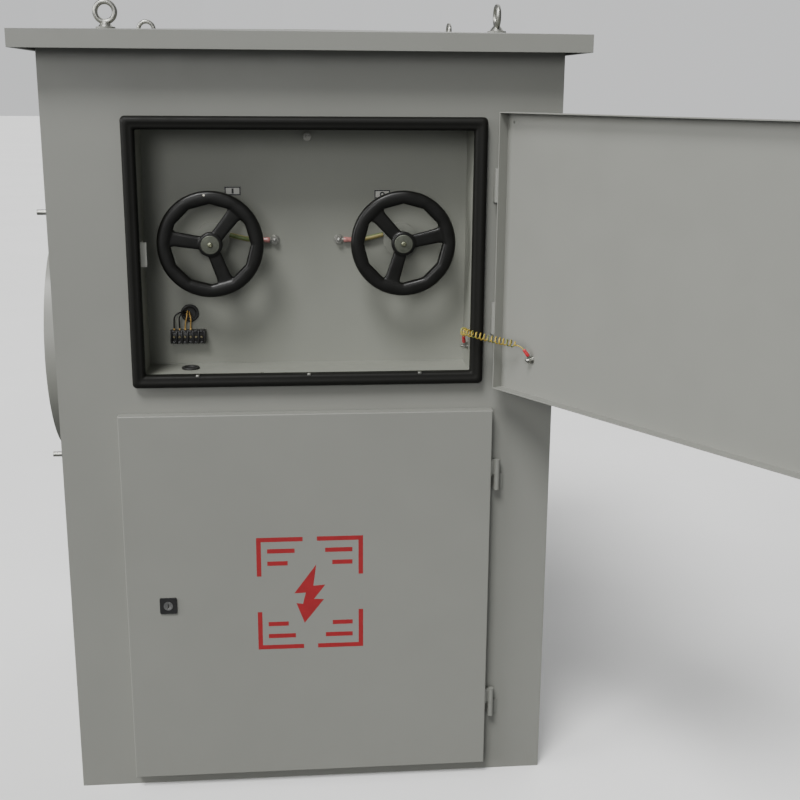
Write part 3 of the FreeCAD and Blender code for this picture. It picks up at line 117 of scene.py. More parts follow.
def add_bump(tree, shader, height, depth, soft_edge=0.0):
    """Raises the surface by a height mask; soft_edge rounds the light on sheet edges, in metres."""
    bump = node(tree, "Bump", Strength=1.0, Distance=depth)
    tree.links.new(height, bump.inputs["Height"])
    if soft_edge:
        rounded = node(tree, "Bevel", Radius=soft_edge)
        rounded.samples = 3
        tree.links.new(rounded.outputs["Normal"], bump.inputs["Normal"])
    tree.links.new(bump.outputs["Normal"], shader.inputs["Normal"])


def cover_with(material, *names):
    """Gives CAD nodes this finish."""
    for name in names:
        nodes[name].data.materials.clear()
        nodes[name].data.materials.append(material)


def paint(name, colour, gloss_low, gloss_high, peel=0.00002, soft_edge=0.0008, dirt=0.10, dirt_top=0.12):
    """Sprayed and baked paint: slight orange peel, cloudy gloss, dust that has settled low down."""
    material, tree, shader = new_material(name)
    where = place_of(tree)
    tint = blend_colour(tree, mottle(tree, where, 2.2, 0.3, 0.7), shade(colour, 0.965), shade(colour, 1.03))
    speck = mottle(tree, where, 420.0, 0.60, 0.72, 2.0)
    fine = node(tree, "Math")
    fine.operation = "MULTIPLY"
    fine.inputs[1].default_value = 0.10
    tree.links.new(speck, fine.inputs[0])
    tint = blend_colour(tree, fine.outputs[0], tint, shade(colour, 0.80))
    parts = tree.nodes.new("ShaderNodeSeparateXYZ")
    tree.links.new(where, parts.inputs[0])
    low_down = node(tree, "MapRange")
    low_down.inputs["From Min"].default_value = dirt_top
    low_down.inputs["From Max"].default_value = 0.0
    low_down.inputs["To Max"].default_value = dirt
    tree.links.new(parts.outputs["Z"], low_down.inputs["Value"])
    patchy = node(tree, "Math")
    patchy.operation = "MULTIPLY"
    tree.links.new(low_down.outputs["Result"], patchy.inputs[0])
    tree.links.new(mottle(tree, where, 30.0, 0.35, 0.65), patchy.inputs[1])
    tint = blend_colour(tree, patchy.outputs[0], tint, (0.16, 0.14, 0.11, 1.0))
    tree.links.new(tint, shader.inputs["Base Color"])
    spread_roughness(tree, shader, mottle(tree, where, 14.0, 0.3, 0.7), gloss_low, gloss_high)
    add_bump(tree, shader, mottle(tree, where, 900.0, 0.2, 0.8, 1.0), peel, soft_edge)
    return material


base_paint = paint("base_paint", (0.085, 0.09, 0.09), 0.45, 0.6, dirt=0.35, dirt_top=0.09)
cover_with(base_paint, "base_frame", "core_clamps")


# ---------------------------------------------------------------------------------------------------------
# Cladding. Folded 2.5 mm sheet panels round a frame of angles, all sprayed together in a light warm grey
# powder coat with a fine orange peel. The back is a bolted cover with pressed louvres.
# ---------------------------------------------------------------------------------------------------------

CABINET_GREY = (0.205, 0.208, 0.186)
cabinet_paint = paint("grey_powder_coat", CABINET_GREY, 0.36, 0.5)
painted = ["body_frame", "front_panel", "left_side_panel", "right_side_panel", "rear_panel", "rear_cover",
           "partition_shelf", "hinge_frame_halves", "upper_hinge_door_halves", "lower_hinge_door_halves",
           "roof_cover", "recess_box", "door_keeper", "port_neck", "port_cover", "upper_door_shell",
           "lower_door_shell"]
cover_with(cabinet_paint, *painted)


def plated(name, colour, rough_low, rough_high, patch=60.0):
    """Zinc-plated steel: a dull bright metal with a faint cloudy bloom."""
    material, tree, shader = new_material(name)
    shader.inputs["Metallic"].default_value = 1.0
    where = place_of(tree)
    bloom = mottle(tree, where, patch, 0.35, 0.65)
    tree.links.new(blend_colour(tree, bloom, shade(colour, 0.82), shade(colour, 1.08)),
                   shader.inputs["Base Color"])
    spread_roughness(tree, shader, mottle(tree, where, patch * 4, 0.3, 0.7), rough_low, rough_high)
    add_bump(tree, shader, mottle(tree, where, 1500.0, 0.3, 0.7, 2.0), 0.00001)
    return material


zinc = plated("zinc_steel", (0.34, 0.34, 0.31), 0.30, 0.46)
bright_pieces = ["rear_cover_bolts", "hinge_pins", "rear_bearing_brackets", "gland_plate", "lock_cam",
                 "top_swing_bolt", "bottom_swing_bolt", "lifting_eyes", "left_shaft", "right_shaft"]
cover_with(zinc, *bright_pieces)


# ---------------------------------------------------------------------------------------------------------
# Dry transformer in the lower compartment. A laminated three-limb core, oiled against rust, with cast-resin
# windings; black single-core cables lead up through the shelf. Copper earth bar on the floor.
# ---------------------------------------------------------------------------------------------------------

def laminated_steel():
    """Stacked sheets seen on edge: fine dark lines in Y, with an oily sheen."""
    material, tree, shader = new_material("core_steel")
    shader.inputs["Metallic"].default_value = 0.75
    where = place_of(tree)
    lines = node(tree, "TexWave", Scale=180.0, Distortion=0.4, Detail=1.0)
    lines.bands_direction = "Y"
    tree.links.new(where, lines.inputs["Vector"])
    sheets = blend_colour(tree, lines.outputs["Fac"], (0.035, 0.038, 0.042, 1), (0.10, 0.105, 0.11, 1))
    tree.links.new(sheets, shader.inputs["Base Color"])
    spread_roughness(tree, shader, mottle(tree, where, 12.0, 0.3, 0.7), 0.32, 0.6)
    add_bump(tree, shader, lines.outputs["Fac"], 0.0002)
    return material


def moulded(name, colour, rough_low, rough_high, coat=0.0, grain=0.00003, grain_scale=700.0, soft_edge=0.0,
            tint=0.06, cloud=9.0, shine=0.5):
    """Moulded rubber, plastic or cast resin, plain but never quite even."""
    material, tree, shader = new_material(name)
    shader.inputs["Specular IOR Level"].default_value = shine
    shader.inputs["Coat Weight"].default_value = coat
    shader.inputs["Coat Roughness"].default_value = 0.15
    where = place_of(tree)
    shades = blend_colour(tree, mottle(tree, where, cloud, 0.3, 0.7),
                          shade(colour, 1 - tint), shade(colour, 1 + tint))
    tree.links.new(shades, shader.inputs["Base Color"])
    spread_roughness(tree, shader, mottle(tree, where, cloud * 5, 0.3, 0.7), rough_low, rough_high)
    add_bump(tree, shader, mottle(tree, where, grain_scale, 0.25, 0.75, 2.0), grain, soft_edge)
    return material


cast_resin = moulded("cast_resin", (0.20, 0.045, 0.03), 0.35, 0.5, grain=0.0002, grain_scale=60.0)
cable_black = moulded("black_cable", (0.018, 0.018, 0.02), 0.4, 0.55)
copper = plated("copper", (0.72, 0.33, 0.19), 0.22, 0.42, patch=35.0)
cover_with(laminated_steel(), "transformer_core")
cover_with(cast_resin, "coils")
cover_with(cable_black, "hv_cables")
cover_with(copper, "earth_bar", "jaw_contacts", "bus_links", "left_blades", "right_blades")


# ---------------------------------------------------------------------------------------------------------
# Rotary isolators on the shelf. Ribbed brown epoxy posts carry copper jaws; varnished glass-fibre shafts
# turn the blades from the handwheels in front.
# ---------------------------------------------------------------------------------------------------------

brown_epoxy = moulded("resin_insulator", (0.17, 0.05, 0.03), 0.14, 0.24, coat=0.6)
cover_with(brown_epoxy, "post_insulators")


def wound_glass():
    """Glass rovings wound round the shaft under clear varnish."""
    material, tree, shader = new_material("glass_fibre_rod")
    shader.inputs["Coat Weight"].default_value = 0.8
    where = place_of(tree)
    winding = node(tree, "TexWave", Scale=160.0, Distortion=2.0, Detail=2.0)
    winding.bands_direction = "Y"
    tree.links.new(where, winding.inputs["Vector"])
    tree.links.new(blend_colour(tree, winding.outputs["Fac"], (0.50, 0.42, 0.18, 1), (0.66, 0.58, 0.30, 1)),
                   shader.inputs["Base Color"])
    spread_roughness(tree, shader, mottle(tree, where, 40.0, 0.3, 0.7), 0.2, 0.35)
    add_bump(tree, shader, winding.outputs["Fac"], 0.00008)
    return material


cover_with(wound_glass(), "left_insulated_shaft", "right_insulated_shaft")


# ---------------------------------------------------------------------------------------------------------
# Seals that stay out of sight: foam strip under the roof, ring under the port's cover, foam frame on the
# lower door. All are matt black closed-cell rubber.
# ---------------------------------------------------------------------------------------------------------

foam = moulded("foam_rubber", (0.022, 0.022, 0.021), 0.75, 0.9, grain=0.0002, grain_scale=350.0)
cover_with(foam, "roof_seal", "port_gasket", "lower_door_seal")


# ---------------------------------------------------------------------------------------------------------
# Recess gasket. One length of extruded black rubber pushed over the tray's lip: a flat foot, a groove and a
# round bulb outside it, bent round the corners.
# ---------------------------------------------------------------------------------------------------------

def even_out(mesh):
    """Turns every face of a closed skin outward."""
    made = bmesh.new()
    made.from_mesh(mesh)
    bmesh.ops.recalc_face_normals(made, faces=made.faces)
    made.to_mesh(mesh)
    made.free()


def piece(name, verts, faces, finish, body, smooth=True):
    """A mesh piece that rides on a body; smooth may be an angle in degrees."""
    mesh = bpy.data.meshes.new(name)
    mesh.from_pydata([tuple(v) for v in verts], [], faces)
    even_out(mesh)
    mesh.materials.append(finish)
    return settle(mesh, name, body, smooth)


def settle(mesh, name, body, smooth=True):
    made = bpy.data.objects.new(name, mesh)
    bpy.context.scene.collection.objects.link(made)
    mesh.polygons.foreach_set("use_smooth", [bool(smooth)] * len(mesh.polygons))
    if smooth and smooth is not True:
        mesh.set_sharp_from_angle(angle=math.radians(smooth))
    if body:
        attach(made, body)
    return made


def swept(rings, closed=False, ends=True):
    """Vertices and faces of a skin over rings of equal count; closed joins the last ring to the first."""
    verts = [p for ring in rings for p in ring]
    n = len(rings[0])
    count = len(rings)
    faces = []
    for i in range(count if closed else count - 1):
        a = i * n
        b = (i + 1) % count * n
        for k in range(n):
            m = (k + 1) % n
            faces.append((a + k, a + m, b + m, b + k))
    if ends and not closed:
        faces.append(tuple(reversed(range(n))))
        faces.append(tuple(range((count - 1) * n, count * n)))
    return verts, faces


gasket_low, gasket_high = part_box("recess_gasket")
body_front = gasket_high.y
GASKET_WIDTH = 24.3 * mm
GASKET_PROUD = gasket_high.y - gasket_low.y
CORNER_OUT = 9 * mm
CORNER_IN = 2.5 * mm


def frame_path(x0, x1, z0, z1, corner, steps, straight):
    """Points and outward directions round a rectangle with round corners, in the XZ plane."""
    centres = [(x1 - corner, z1 - corner, 0), (x0 + corner, z1 - corner, 90),
               (x0 + corner, z0 + corner, 180), (x1 - corner, z0 + corner, 270)]
    around = []
    for cx, cz, start in centres:
        for k in range(steps + 1):
            a = math.radians(start + 90 * k / steps)
            around.append((Vector((cx + corner * math.cos(a), 0, cz + corner * math.sin(a))),
                           Vector((math.cos(a), 0, math.sin(a)))))
    filled = []
    for k, (p, out) in enumerate(around):
        q, _ = around[(k + 1) % len(around)]
        filled.append((p, out))
        if (q - p).length > 0.05:
            for s in range(1, straight):
                filled.append((p.lerp(q, s / straight), out))
    return filled


def gasket_section():
    """Half-outline across the strip: x is outward from its inner edge, y is towards the room."""
    w = GASKET_WIDTH
    h = GASKET_PROUD
    points = [(0.0, 0.001), (0.0, h * 0.62), (0.0012, h * 0.80), (0.0035, h * 0.90), (0.0062, h * 0.93)]
    centre = w - h * 0.46
    for k in range(9):
        a = math.radians(125 - 145 * k / 8)
        points.append((centre + h * 0.46 * math.cos(a), h * 0.54 + h * 0.46 * math.sin(a)))
    points += [(w - 0.0008, h * 0.22), (w - 0.003, h * 0.10), (w - 0.0035, 0.0004), (w * 0.5, 0.0)]
    return points


def gasket():
    section = gasket_section()
    inner = frame_path(gasket_low.x + GASKET_WIDTH, gasket_high.x - GASKET_WIDTH,
                       gasket_low.z + GASKET_WIDTH, gasket_high.z - GASKET_WIDTH, CORNER_IN, 8, 40)
    outer = frame_path(gasket_low.x, gasket_high.x, gasket_low.z, gasket_high.z, CORNER_OUT, 8, 40)
    rings = []
    for (p, _), (q, _) in zip(inner, outer):
        wave = 0.00035 * noise.noise(p * 14) + 0.00015 * noise.noise(p * 60)
        ring = []
        for across, proud in section:
            point = p.lerp(q, across / GASKET_WIDTH)
            lift = min(proud + wave * (proud / GASKET_PROUD), GASKET_PROUD)
            ring.append((point.x, body_front - lift, point.z))
        rings.append(ring)
    return swept(rings, closed=True)


gasket_rubber = moulded("gasket_rubber", (0.0078, 0.0078, 0.0066), 0.45, 0.6, grain=0.00006,
                        grain_scale=500.0, shine=0.16)
verts, faces = gasket()
strip = piece("recess_gasket_strip", verts, faces, gasket_rubber, "cabinet", 50)
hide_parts("recess_gasket")


# ---------------------------------------------------------------------------------------------------------
# Tray tabs. Three small ends of the tray's welded corner strips stand over the rubber's lower inner edge;
# bare bright metal, each only a few millimetres wide.
# ---------------------------------------------------------------------------------------------------------

def soft_block(low, high, edge, segments=2):
    """A block with rounded edges."""
    made = bmesh.new()
    bmesh.ops.create_cube(made, size=1.0)
    middle = (Vector(low) + Vector(high)) / 2
    span = Vector(high) - Vector(low)
    for vert in made.verts:
        vert.co = Vector(vert.co[k] * span[k] + middle[k] for k in range(3))
    bmesh.ops.bevel(made, geom=made.edges[:], offset=edge, segments=segments, affect="EDGES", profile=0.5)
    verts = [v.co.copy() for v in made.verts]
    faces = [tuple(v.index for v in f.verts) for f in made.faces]
    made.free()
    return verts, faces


def together(parts):
    """Joins several skins into one list of vertices and faces."""
    verts, faces = [], []
    for some, few in parts:
        start = len(verts)
        verts += some
        faces += [tuple(i + start for i in f) for f in few]
    return verts, faces


tabs = []
lip_bottom = gasket_low.z + GASKET_WIDTH
for x in (-211 * mm, -1 * mm, 211 * mm):
    tabs.append(soft_block((x - 3.5 * mm, -494.5 * mm, lip_bottom - 3.5 * mm),
                           (x + 3.5 * mm, -487.0 * mm, lip_bottom + 1.6 * mm), 1.2 * mm))
verts, faces = together(tabs)
piece("tray_tabs", verts, faces, zinc, "cabinet", 40)


# ---------------------------------------------------------------------------------------------------------
# Recess tray. Welded from the same sheet as the cladding and sprayed like it, with the shaft bearings; its
# grey is a touch warmer as a painted tint of light bounced inside the recess. The door keeper, a small
# angle on the left wall, is nearly white.
# ---------------------------------------------------------------------------------------------------------

# Warmer copy of the cladding grey: the warmth is painted bounce light from inside the recess.
tray_paint_bounce_tint = paint("recess_coat_painted_bounce", (0.212, 0.218, 0.187), 0.40, 0.55)
cover_with(tray_paint_bounce_tint, "recess_box", "shaft_bearings")
keeper_paint = paint("keeper_powder_coat", (0.80, 0.80, 0.72), 0.35, 0.5)
cover_with(keeper_paint, "door_keeper")


# ---------------------------------------------------------------------------------------------------------
# Grommets. Black rubber rings snapped into the tray, one in its back for the control wires and one in its
# floor; each has a rounded lip and a thin skin with a slit across the hole.
# ---------------------------------------------------------------------------------------------------------

def lathe(profile, base, along, sides=40):
    """Spins (distance along the axis, radius) pairs round an axis."""
    turn = Vector((0, 0, 1)).rotation_difference(Vector(along))
    rings = []
    for height, radius in profile:
        ring = []
        for k in range(sides):
            a = 2 * math.pi * k / sides
            ring.append(Vector(base) + turn @ Vector((radius * math.cos(a), radius * math.sin(a), height)))
        rings.append(ring)
    return swept(rings)


BACK_Y = -374 * mm
AXIS_Z = 1110.8 * mm
WALL_GROMMET = Vector((-230.5, -374.0, 967.8)) * mm
FLOOR_GROMMET = Vector((-229.0, -421.0, 866.8)) * mm
lip_profile = [(0.0, 0.0165), (0.0008, 0.0174), (0.0022, 0.0175), (0.0034, 0.0168), (0.0040, 0.0150),
               (0.0036, 0.0128), (0.0024, 0.0112), (0.0012, 0.0108), (0.0008, 0.0090), (0.0009, 0.0040),
               (0.0011, 0.0004)]
grommet_rubber = moulded("grommet_rubber", (0.014, 0.014, 0.013), 0.45, 0.6, grain=0.00004)
verts, faces = together([lathe(lip_profile, WALL_GROMMET, (0, -1, 0)),
                         lathe(lip_profile, FLOOR_GROMMET, (0, 0, 1))])
rings = piece("cable_grommet_rings", verts, faces, grommet_rubber, "cabinet", 50)
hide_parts("cable_grommets")


# ---------------------------------------------------------------------------------------------------------
# Terminal block. A black moulded strip screwed to the tray's back, six ways between thin fins, each with
# a slotted screw (a separate metal piece) and a lead-in slot above and below.
# ---------------------------------------------------------------------------------------------------------

block_low, block_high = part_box("terminal_block")
WAYS = 6
FIN = 2 * mm
way_pitch = (block_high.x - block_low.x - 4 * mm) / WAYS
pocket_y = block_low.y + 6 * mm
strip_parts = [soft_block((block_low.x, pocket_y, block_low.z), block_high, 0.6 * mm)]
for k in range(WAYS + 1):
    x = (block_low.x + block_high.x) / 2 + (k - WAYS / 2) * way_pitch
    strip_parts.append(soft_block((x - FIN / 2, block_low.y, block_low.z),
                                  (x + FIN / 2, block_high.y, block_high.z), 0.5 * mm))
    if k < WAYS:
        for z0, z1 in ((block_low.z + 0.4 * mm, block_low.z + 4 * mm),
                       (block_high.z - 4 * mm, block_high.z - 0.4 * mm)):
            strip_parts.append(soft_block((x + FIN, pocket_y - 2.2 * mm, z0),
                                          (x + way_pitch - FIN, pocket_y + 1 * mm, z1), 0.4 * mm))
phenolic = moulded("black_phenolic", (0.012, 0.012, 0.0115), 0.25, 0.4, coat=0.3, grain=0.00002,
                    soft_edge=0.0003)
verts, faces = together(strip_parts)
terminals = piece("terminal_strip", verts, faces, phenolic, "cabinet", 40)
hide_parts("terminal_block")


# ---------------------------------------------------------------------------------------------------------
# Control wires. Four stranded wires, two black and two amber, rise from the first four ways and bend
# over into the rubber grommet; each ends in an amber ferrule under its screw.
# ---------------------------------------------------------------------------------------------------------

def route_line(name, points, resolution=16):
    """Points along a smooth NURBS line through the space that its control points give it."""
    curve = bpy.data.curves.new(name, "CURVE")
    curve.dimensions = "3D"
    curve.resolution_u = resolution
    spline = curve.splines.new("NURBS")
    spline.points.add(len(points) - 1)
    for held, point in zip(spline.points, points):
        held.co = (point[0], point[1], point[2], 1.0)
    spline.order_u = 3
    spline.use_endpoint_u = True
    holder = bpy.data.objects.new(name, curve)
    line = bpy.data.meshes.new_from_object(holder)
    found = [v.co.copy() for v in line.vertices]
    bpy.data.meshes.remove(line)
    bpy.data.objects.remove(holder)
    bpy.data.curves.remove(curve)
    return found


def tube(points, radius, sides=12):
    """A round skin that follows the points without twisting."""
    rings = []
    side = None
    for k, point in enumerate(points):
        ahead = (points[min(k + 1, len(points) - 1)] - points[max(k - 1, 0)]).normalized()
        side = ahead.orthogonal() if side is None else side
        side = (side - ahead * side.dot(ahead)).normalized()
        up = ahead.cross(side)
        ring = []
        for n in range(sides):
            a = 2 * math.pi * n / sides
            ring.append(point + side * (radius * math.cos(a)) + up * (radius * math.sin(a)))
        rings.append(ring)
    return swept(rings)


WIRE_R = 1.4 * mm
black_wire = moulded("black_wire", (0.006, 0.006, 0.006), 0.3, 0.42, grain=0.00001)
amber_wire = moulded("amber_wire", (0.50, 0.31, 0.08), 0.32, 0.45, grain=0.00001)
ferrule_profile = [(-2 * mm, 0.8 * mm), (-1.6 * mm, 1.6 * mm), (2.4 * mm, 1.8 * mm), (3.2 * mm, 1.4 * mm)]
amber_runs, black_runs, ferrules = [], [], []
for k in range(4):
    spread = k - 1.5
    x = (block_low.x + block_high.x) / 2 + (k - (WAYS - 1) / 2) * way_pitch
    start = Vector((x, BACK_Y - 7 * mm, block_high.z))
    entry = WALL_GROMMET + Vector((spread * 3.4 - 6.0, 0, 1 if k % 2 else 4)) * mm
    rise = start + Vector((0, 0, 9)) * mm
    swing = Vector((spread * 2 - (5 if k < 2 else 0), -12 - 3 * (k % 2), 9 if k < 2 else 2))
    bow = (rise + entry) / 2 + swing * mm
    ahead = entry + Vector((0, -9, 1)) * mm
    line = route_line("control_route", [start, rise, bow, ahead, entry + Vector((0, 4, 1)) * mm])
    (black_runs if k < 2 else amber_runs).append(tube(line, WIRE_R))
    ferrules.append(lathe(ferrule_profile, start, (0, 0, 1), 16))
verts, faces = together(black_runs)
blacks = piece("control_wires_black", verts, faces, black_wire, "cabinet")
verts, faces = together(amber_runs)
ambers = piece("control_wires_amber", verts, faces, amber_wire, "cabinet")
verts, faces = together(ferrules)
piece("wire_ferrules", verts, faces, amber_wire, "cabinet", 40)
for wires in (blacks, ambers):
    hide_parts("control_wires")


# ---------------------------------------------------------------------------------------------------------
# Bonding leads. Short yellow and green insulated leads from a stud beside each wheel to the back of its
# bearing. A third of the way round each is green.
# ---------------------------------------------------------------------------------------------------------

lead_yellow = moulded("lead_yellow", (0.40, 0.28, 0.04), 0.4, 0.55, grain=0.00001, tint=0.12, cloud=60.0)
bond_yellow = moulded("bond_yellow", (0.27, 0.235, 0.085), 0.45, 0.6, grain=0.00001, tint=0.12, cloud=60.0)
lead_green = moulded("lead_green", (0.10, 0.14, 0.045), 0.4, 0.55, grain=0.00001, tint=0.12, cloud=60.0)


def stripe(made, sides, striped, rings):
    """Paints some sides of a tube piece in the second finish; the rest keep the first."""
    made.data.materials.append(lead_green)
    for n, face in enumerate(made.data.polygons):
        if n < rings * sides and n % sides < striped:
            face.material_index = 1


for side, name in ((-1, "left_bonding_lead"), (1, "right_bonding_lead")):
    points = [Vector((side * 84.5, -379.6, 1110.8)) * mm, Vector((side * 100, -379.6, 1110.8)) * mm,
              Vector((side * 124, -383.2, 1114.8)) * mm, Vector((side * 148, -380.2, 1120.8)) * mm]
    line = route_line(name, points)
    verts, faces = tube(line, 4.6 * mm, 15)
    lead = piece(name, verts, faces, bond_yellow, "cabinet")
    stripe(lead, 15, 4, len(line) - 1)
    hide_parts("bonding_leads")


# ---------------------------------------------------------------------------------------------------------
# Lug sleeves. Shrunk red PVC over the crimped necks of the leads' lugs, glossy, slightly waisted past
# the crimp. Two beside the bonding studs, paler red as a painted highlight, one at the recess's wall.
# ---------------------------------------------------------------------------------------------------------

red_vinyl = moulded("red_vinyl", (0.40, 0.018, 0.026), 0.16, 0.28, coat=0.4, grain=0.00002)
sleeve_outline = [(0.0, 2.6), (0.5, 3.3), (2.0, 3.6), (6.5, 3.5), (9.5, 3.1), (13.5, 3.2), (15.4, 3.1),
                  (16.0, 2.3)]
sleeve_profile = [(height * mm, radius * mm) for height, radius in sleeve_outline]
WALL_LUG = Vector((303.4, -441.0, 916.3)) * mm
FLEX_START = Vector((298.4, -459.0, 944.8)) * mm
# The bond sleeves' paler red is a painted highlight of the sheen along their glossy middles.
highlit_sleeve_vinyl = moulded("sleeve_vinyl_painted_highlight", (0.40, 0.165, 0.15), 0.16, 0.28, coat=0.4, grain=0.00002,
                      tint=0.2, cloud=220.0)
stout_profile = [(height * mm, radius * 1.5 * mm) for height, radius in sleeve_outline]
bond_sleeves = [lathe(stout_profile, Vector((side * 71.3, -379.6, 1110.8)) * mm, (side, 0, 0), 20)
                for side in (-1, 1)]
verts, faces = together(bond_sleeves)
covers = piece("bond_lug_sleeves", verts, faces, highlit_sleeve_vinyl, "cabinet", 60)
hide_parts("lug_sleeves")
verts, faces = lathe(sleeve_profile, WALL_LUG, (FLEX_START - WALL_LUG).normalized(), 20)
wall_sleeve = piece("wall_lug_sleeve", verts, faces, red_vinyl, "cabinet", 60)
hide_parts("lug_sleeves")


# ---------------------------------------------------------------------------------------------------------
# Studs and screws of the recess. Zinc-plated weld studs with a wide washer, the lead's ring lug, a spring
# washer and a nut; small slotted screws of dull brass hold the wires in the terminal block.
# ---------------------------------------------------------------------------------------------------------

def hexagon(across, low, high, base, along):
    """A nut's body with chamfered corners."""
    reach = across / math.sqrt(3)
    profile = [(low, reach * 0.93), (low + 0.5 * mm, reach), (high - 0.5 * mm, reach), (high, reach * 0.93)]
    return lathe(profile, base, along, 6)


def ring_plate(low, high, radius, base, along):
    return lathe([(low, radius - 0.3 * mm), (low + 0.3 * mm, radius), (high - 0.3 * mm, radius),
                  (high, radius - 0.3 * mm), (high, 1 * mm)], base, along, 32)


def stud_set(base, along, washer_r, across, thread_r, length):
    """A threaded stud with its washers, lug and nut, as they are stacked."""
    turns = int((length - 4 * mm) / (0.45 * mm))
    thread = [(4 * mm + k * 0.45 * mm, thread_r if k % 2 else thread_r - 0.35 * mm) for k in range(turns)]
    thread.append((length, thread_r - 1 * mm))
    return [lathe(thread, base, along, 20), ring_plate(0.1 * mm, 1.7 * mm, washer_r, base, along),
            ring_plate(1.8 * mm, 3.4 * mm, washer_r - 1.2 * mm, base, along),
            ring_plate(3.5 * mm, 4.9 * mm, across * 0.5, base, along),
            hexagon(across, 5.0 * mm, 9.6 * mm, base, along)]


WALL_STUD = Vector((311.4, -437.0, 908.8)) * mm
fixings = []
for side in (-1, 1):
    fixings += stud_set(Vector((side * 62 * mm, BACK_Y, AXIS_Z)), (0, -1, 0),
                        9.6 * mm, 13 * mm, 3.9 * mm, 14 * mm)
    near, far = sorted((side * 69 * mm, side * 73 * mm))
    fixings.append(soft_block((near, -380.2 * mm, 1108.2 * mm), (far, -376.4 * mm, 1113.4 * mm), 0.5 * mm))
fixings += stud_set(Vector((3 * mm, BACK_Y, 1306.8 * mm)), (0, -1, 0), 8.4 * mm, 13 * mm, 3.9 * mm, 12 * mm)
fixings += stud_set(WALL_STUD, (-1, 0, 0), 7.0 * mm, 10 * mm, 2.95 * mm, 14 * mm)
fixings.append(soft_block((301.6 * mm, -442.6 * mm, 911.5 * mm),
                          (308.8 * mm, -438.6 * mm, 917.4 * mm), 0.5 * mm))
verts, faces = together(fixings)
fixed = piece("recess_studs", verts, faces, zinc, "cabinet", 30)
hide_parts("recess_fasteners")
dull_brass = plated("dull_brass", (0.24, 0.21, 0.13), 0.35, 0.5)
screws = []
for k in range(WAYS):
    x = (block_low.x + block_high.x) / 2 + (k - (WAYS - 1) / 2) * way_pitch
    place = Vector((x, pocket_y, (block_low.z + block_high.z) / 2))
    screws.append(lathe([(0, 2.6 * mm), (1.5 * mm, 2.6 * mm), (2.2 * mm, 2.1 * mm), (2.3 * mm, 0.3 * mm)],
                        place, (0, -1, 0), 20))
verts, faces = together(screws)
screwed = piece("terminal_screws", verts, faces, dull_brass, "cabinet", 40)
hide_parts("recess_fasteners")


# ---------------------------------------------------------------------------------------------------------
# Label plates. Thin white laminate with a dark printed border, stuck above the wheels; one shows a plain
# bar and the other a plain ring, the usual signs for on and off.
# ---------------------------------------------------------------------------------------------------------

label_white = moulded("label_white", (0.50, 0.50, 0.46), 0.3, 0.42, grain=0.00001, tint=0.03)
label_ink = moulded("label_ink", (0.010, 0.010, 0.012), 0.35, 0.5, grain=0.00001)


def flat_shape(outline, y, depth):
    """An outline of (x, z) points in front of y, as a thin solid."""
    rings = [[(x, y, z) for x, z in outline], [(x, y - depth, z) for x, z in outline]]
    return swept(rings)


def bar(x0, x1, z0, z1, y, depth):
    return flat_shape([(x0, z0), (x1, z0), (x1, z1), (x0, z1)], y, depth)


PLATE_Y = -375 * mm
INK = 0.08 * mm
marks = []
for x, z, sign in ((-141 * mm, 1204.3 * mm, "bar"), (147 * mm, 1197.8 * mm, "ring")):
    w, h, line = 15.3 * mm, 8.3 * mm, 2.4 * mm
    marks += [bar(x - w, x + w, z + h - line, z + h, PLATE_Y, INK),
              bar(x - w, x + w, z - h, z - h + line, PLATE_Y, INK),
              bar(x - w, x - w + line, z - h + line, z + h - line, PLATE_Y, INK),
              bar(x + w - line, x + w, z - h + line, z + h - line, PLATE_Y, INK)]
    if sign == "bar":
        marks.append(bar(x - 2.0 * mm, x + 2.0 * mm, z - 5 * mm, z + 5 * mm, PLATE_Y, INK))
    else:
        for k in range(16):
            a, b = 2 * math.pi * k / 16, 2 * math.pi * (k + 1) / 16
            marks.append(flat_shape([(x + r * mm * math.cos(t), z + r * mm * math.sin(t))
                                     for r, t in ((2.4, a), (5.0, a), (5.0, b), (2.4, b))], PLATE_Y, INK))
cover_with(label_white, "label_plates")
verts, faces = together(marks)
piece("label_marks", verts, faces, label_ink, "cabinet", False)


# ---------------------------------------------------------------------------------------------------------
# Handwheels. Compression-moulded black phenolic, polished: a rim whose inner edge has twelve flats for
# the fingers, three flat spokes that flare into it, and a boss held to the shaft by the hub disc's screw.
# ---------------------------------------------------------------------------------------------------------

WHEEL_X = 182 * mm
WHEEL_FRONT = -457 * mm
wheel_resin = moulded("polished_phenolic", (0.0042, 0.0042, 0.0034), 0.30, 0.42, grain=0.00003,
                      grain_scale=160.0, shine=0.3)


def rim():
    """The rim, with its inner edge cut to a twelve-sided outline."""
    outer, corner, half_depth = 99.9 * mm, 75.2 * mm, 10.9 * mm
    squareness = 0.66
    rings = []
    for k in range(180):
        angle = 2 * math.pi * k / 180
        off = (angle + math.pi / 12) % (math.pi / 6) - math.pi / 12
        flat = abs(abs(off) - math.pi / 12)
        inner = corner * math.cos(math.pi / 12) / math.cos(flat)
        middle, half = (outer + inner) / 2, (outer - inner) / 2
        ring = []
        for n in range(24):
            t = 2 * math.pi * n / 24
            c, s = math.cos(t), math.sin(t)
            across = middle + half * math.copysign(abs(c) ** squareness, c)
            depth = half_depth * math.copysign(abs(s) ** squareness, s)
            ring.append(Vector((across * math.cos(angle), depth, across * math.sin(angle))))
        rings.append(ring)
    return swept(rings, closed=True)


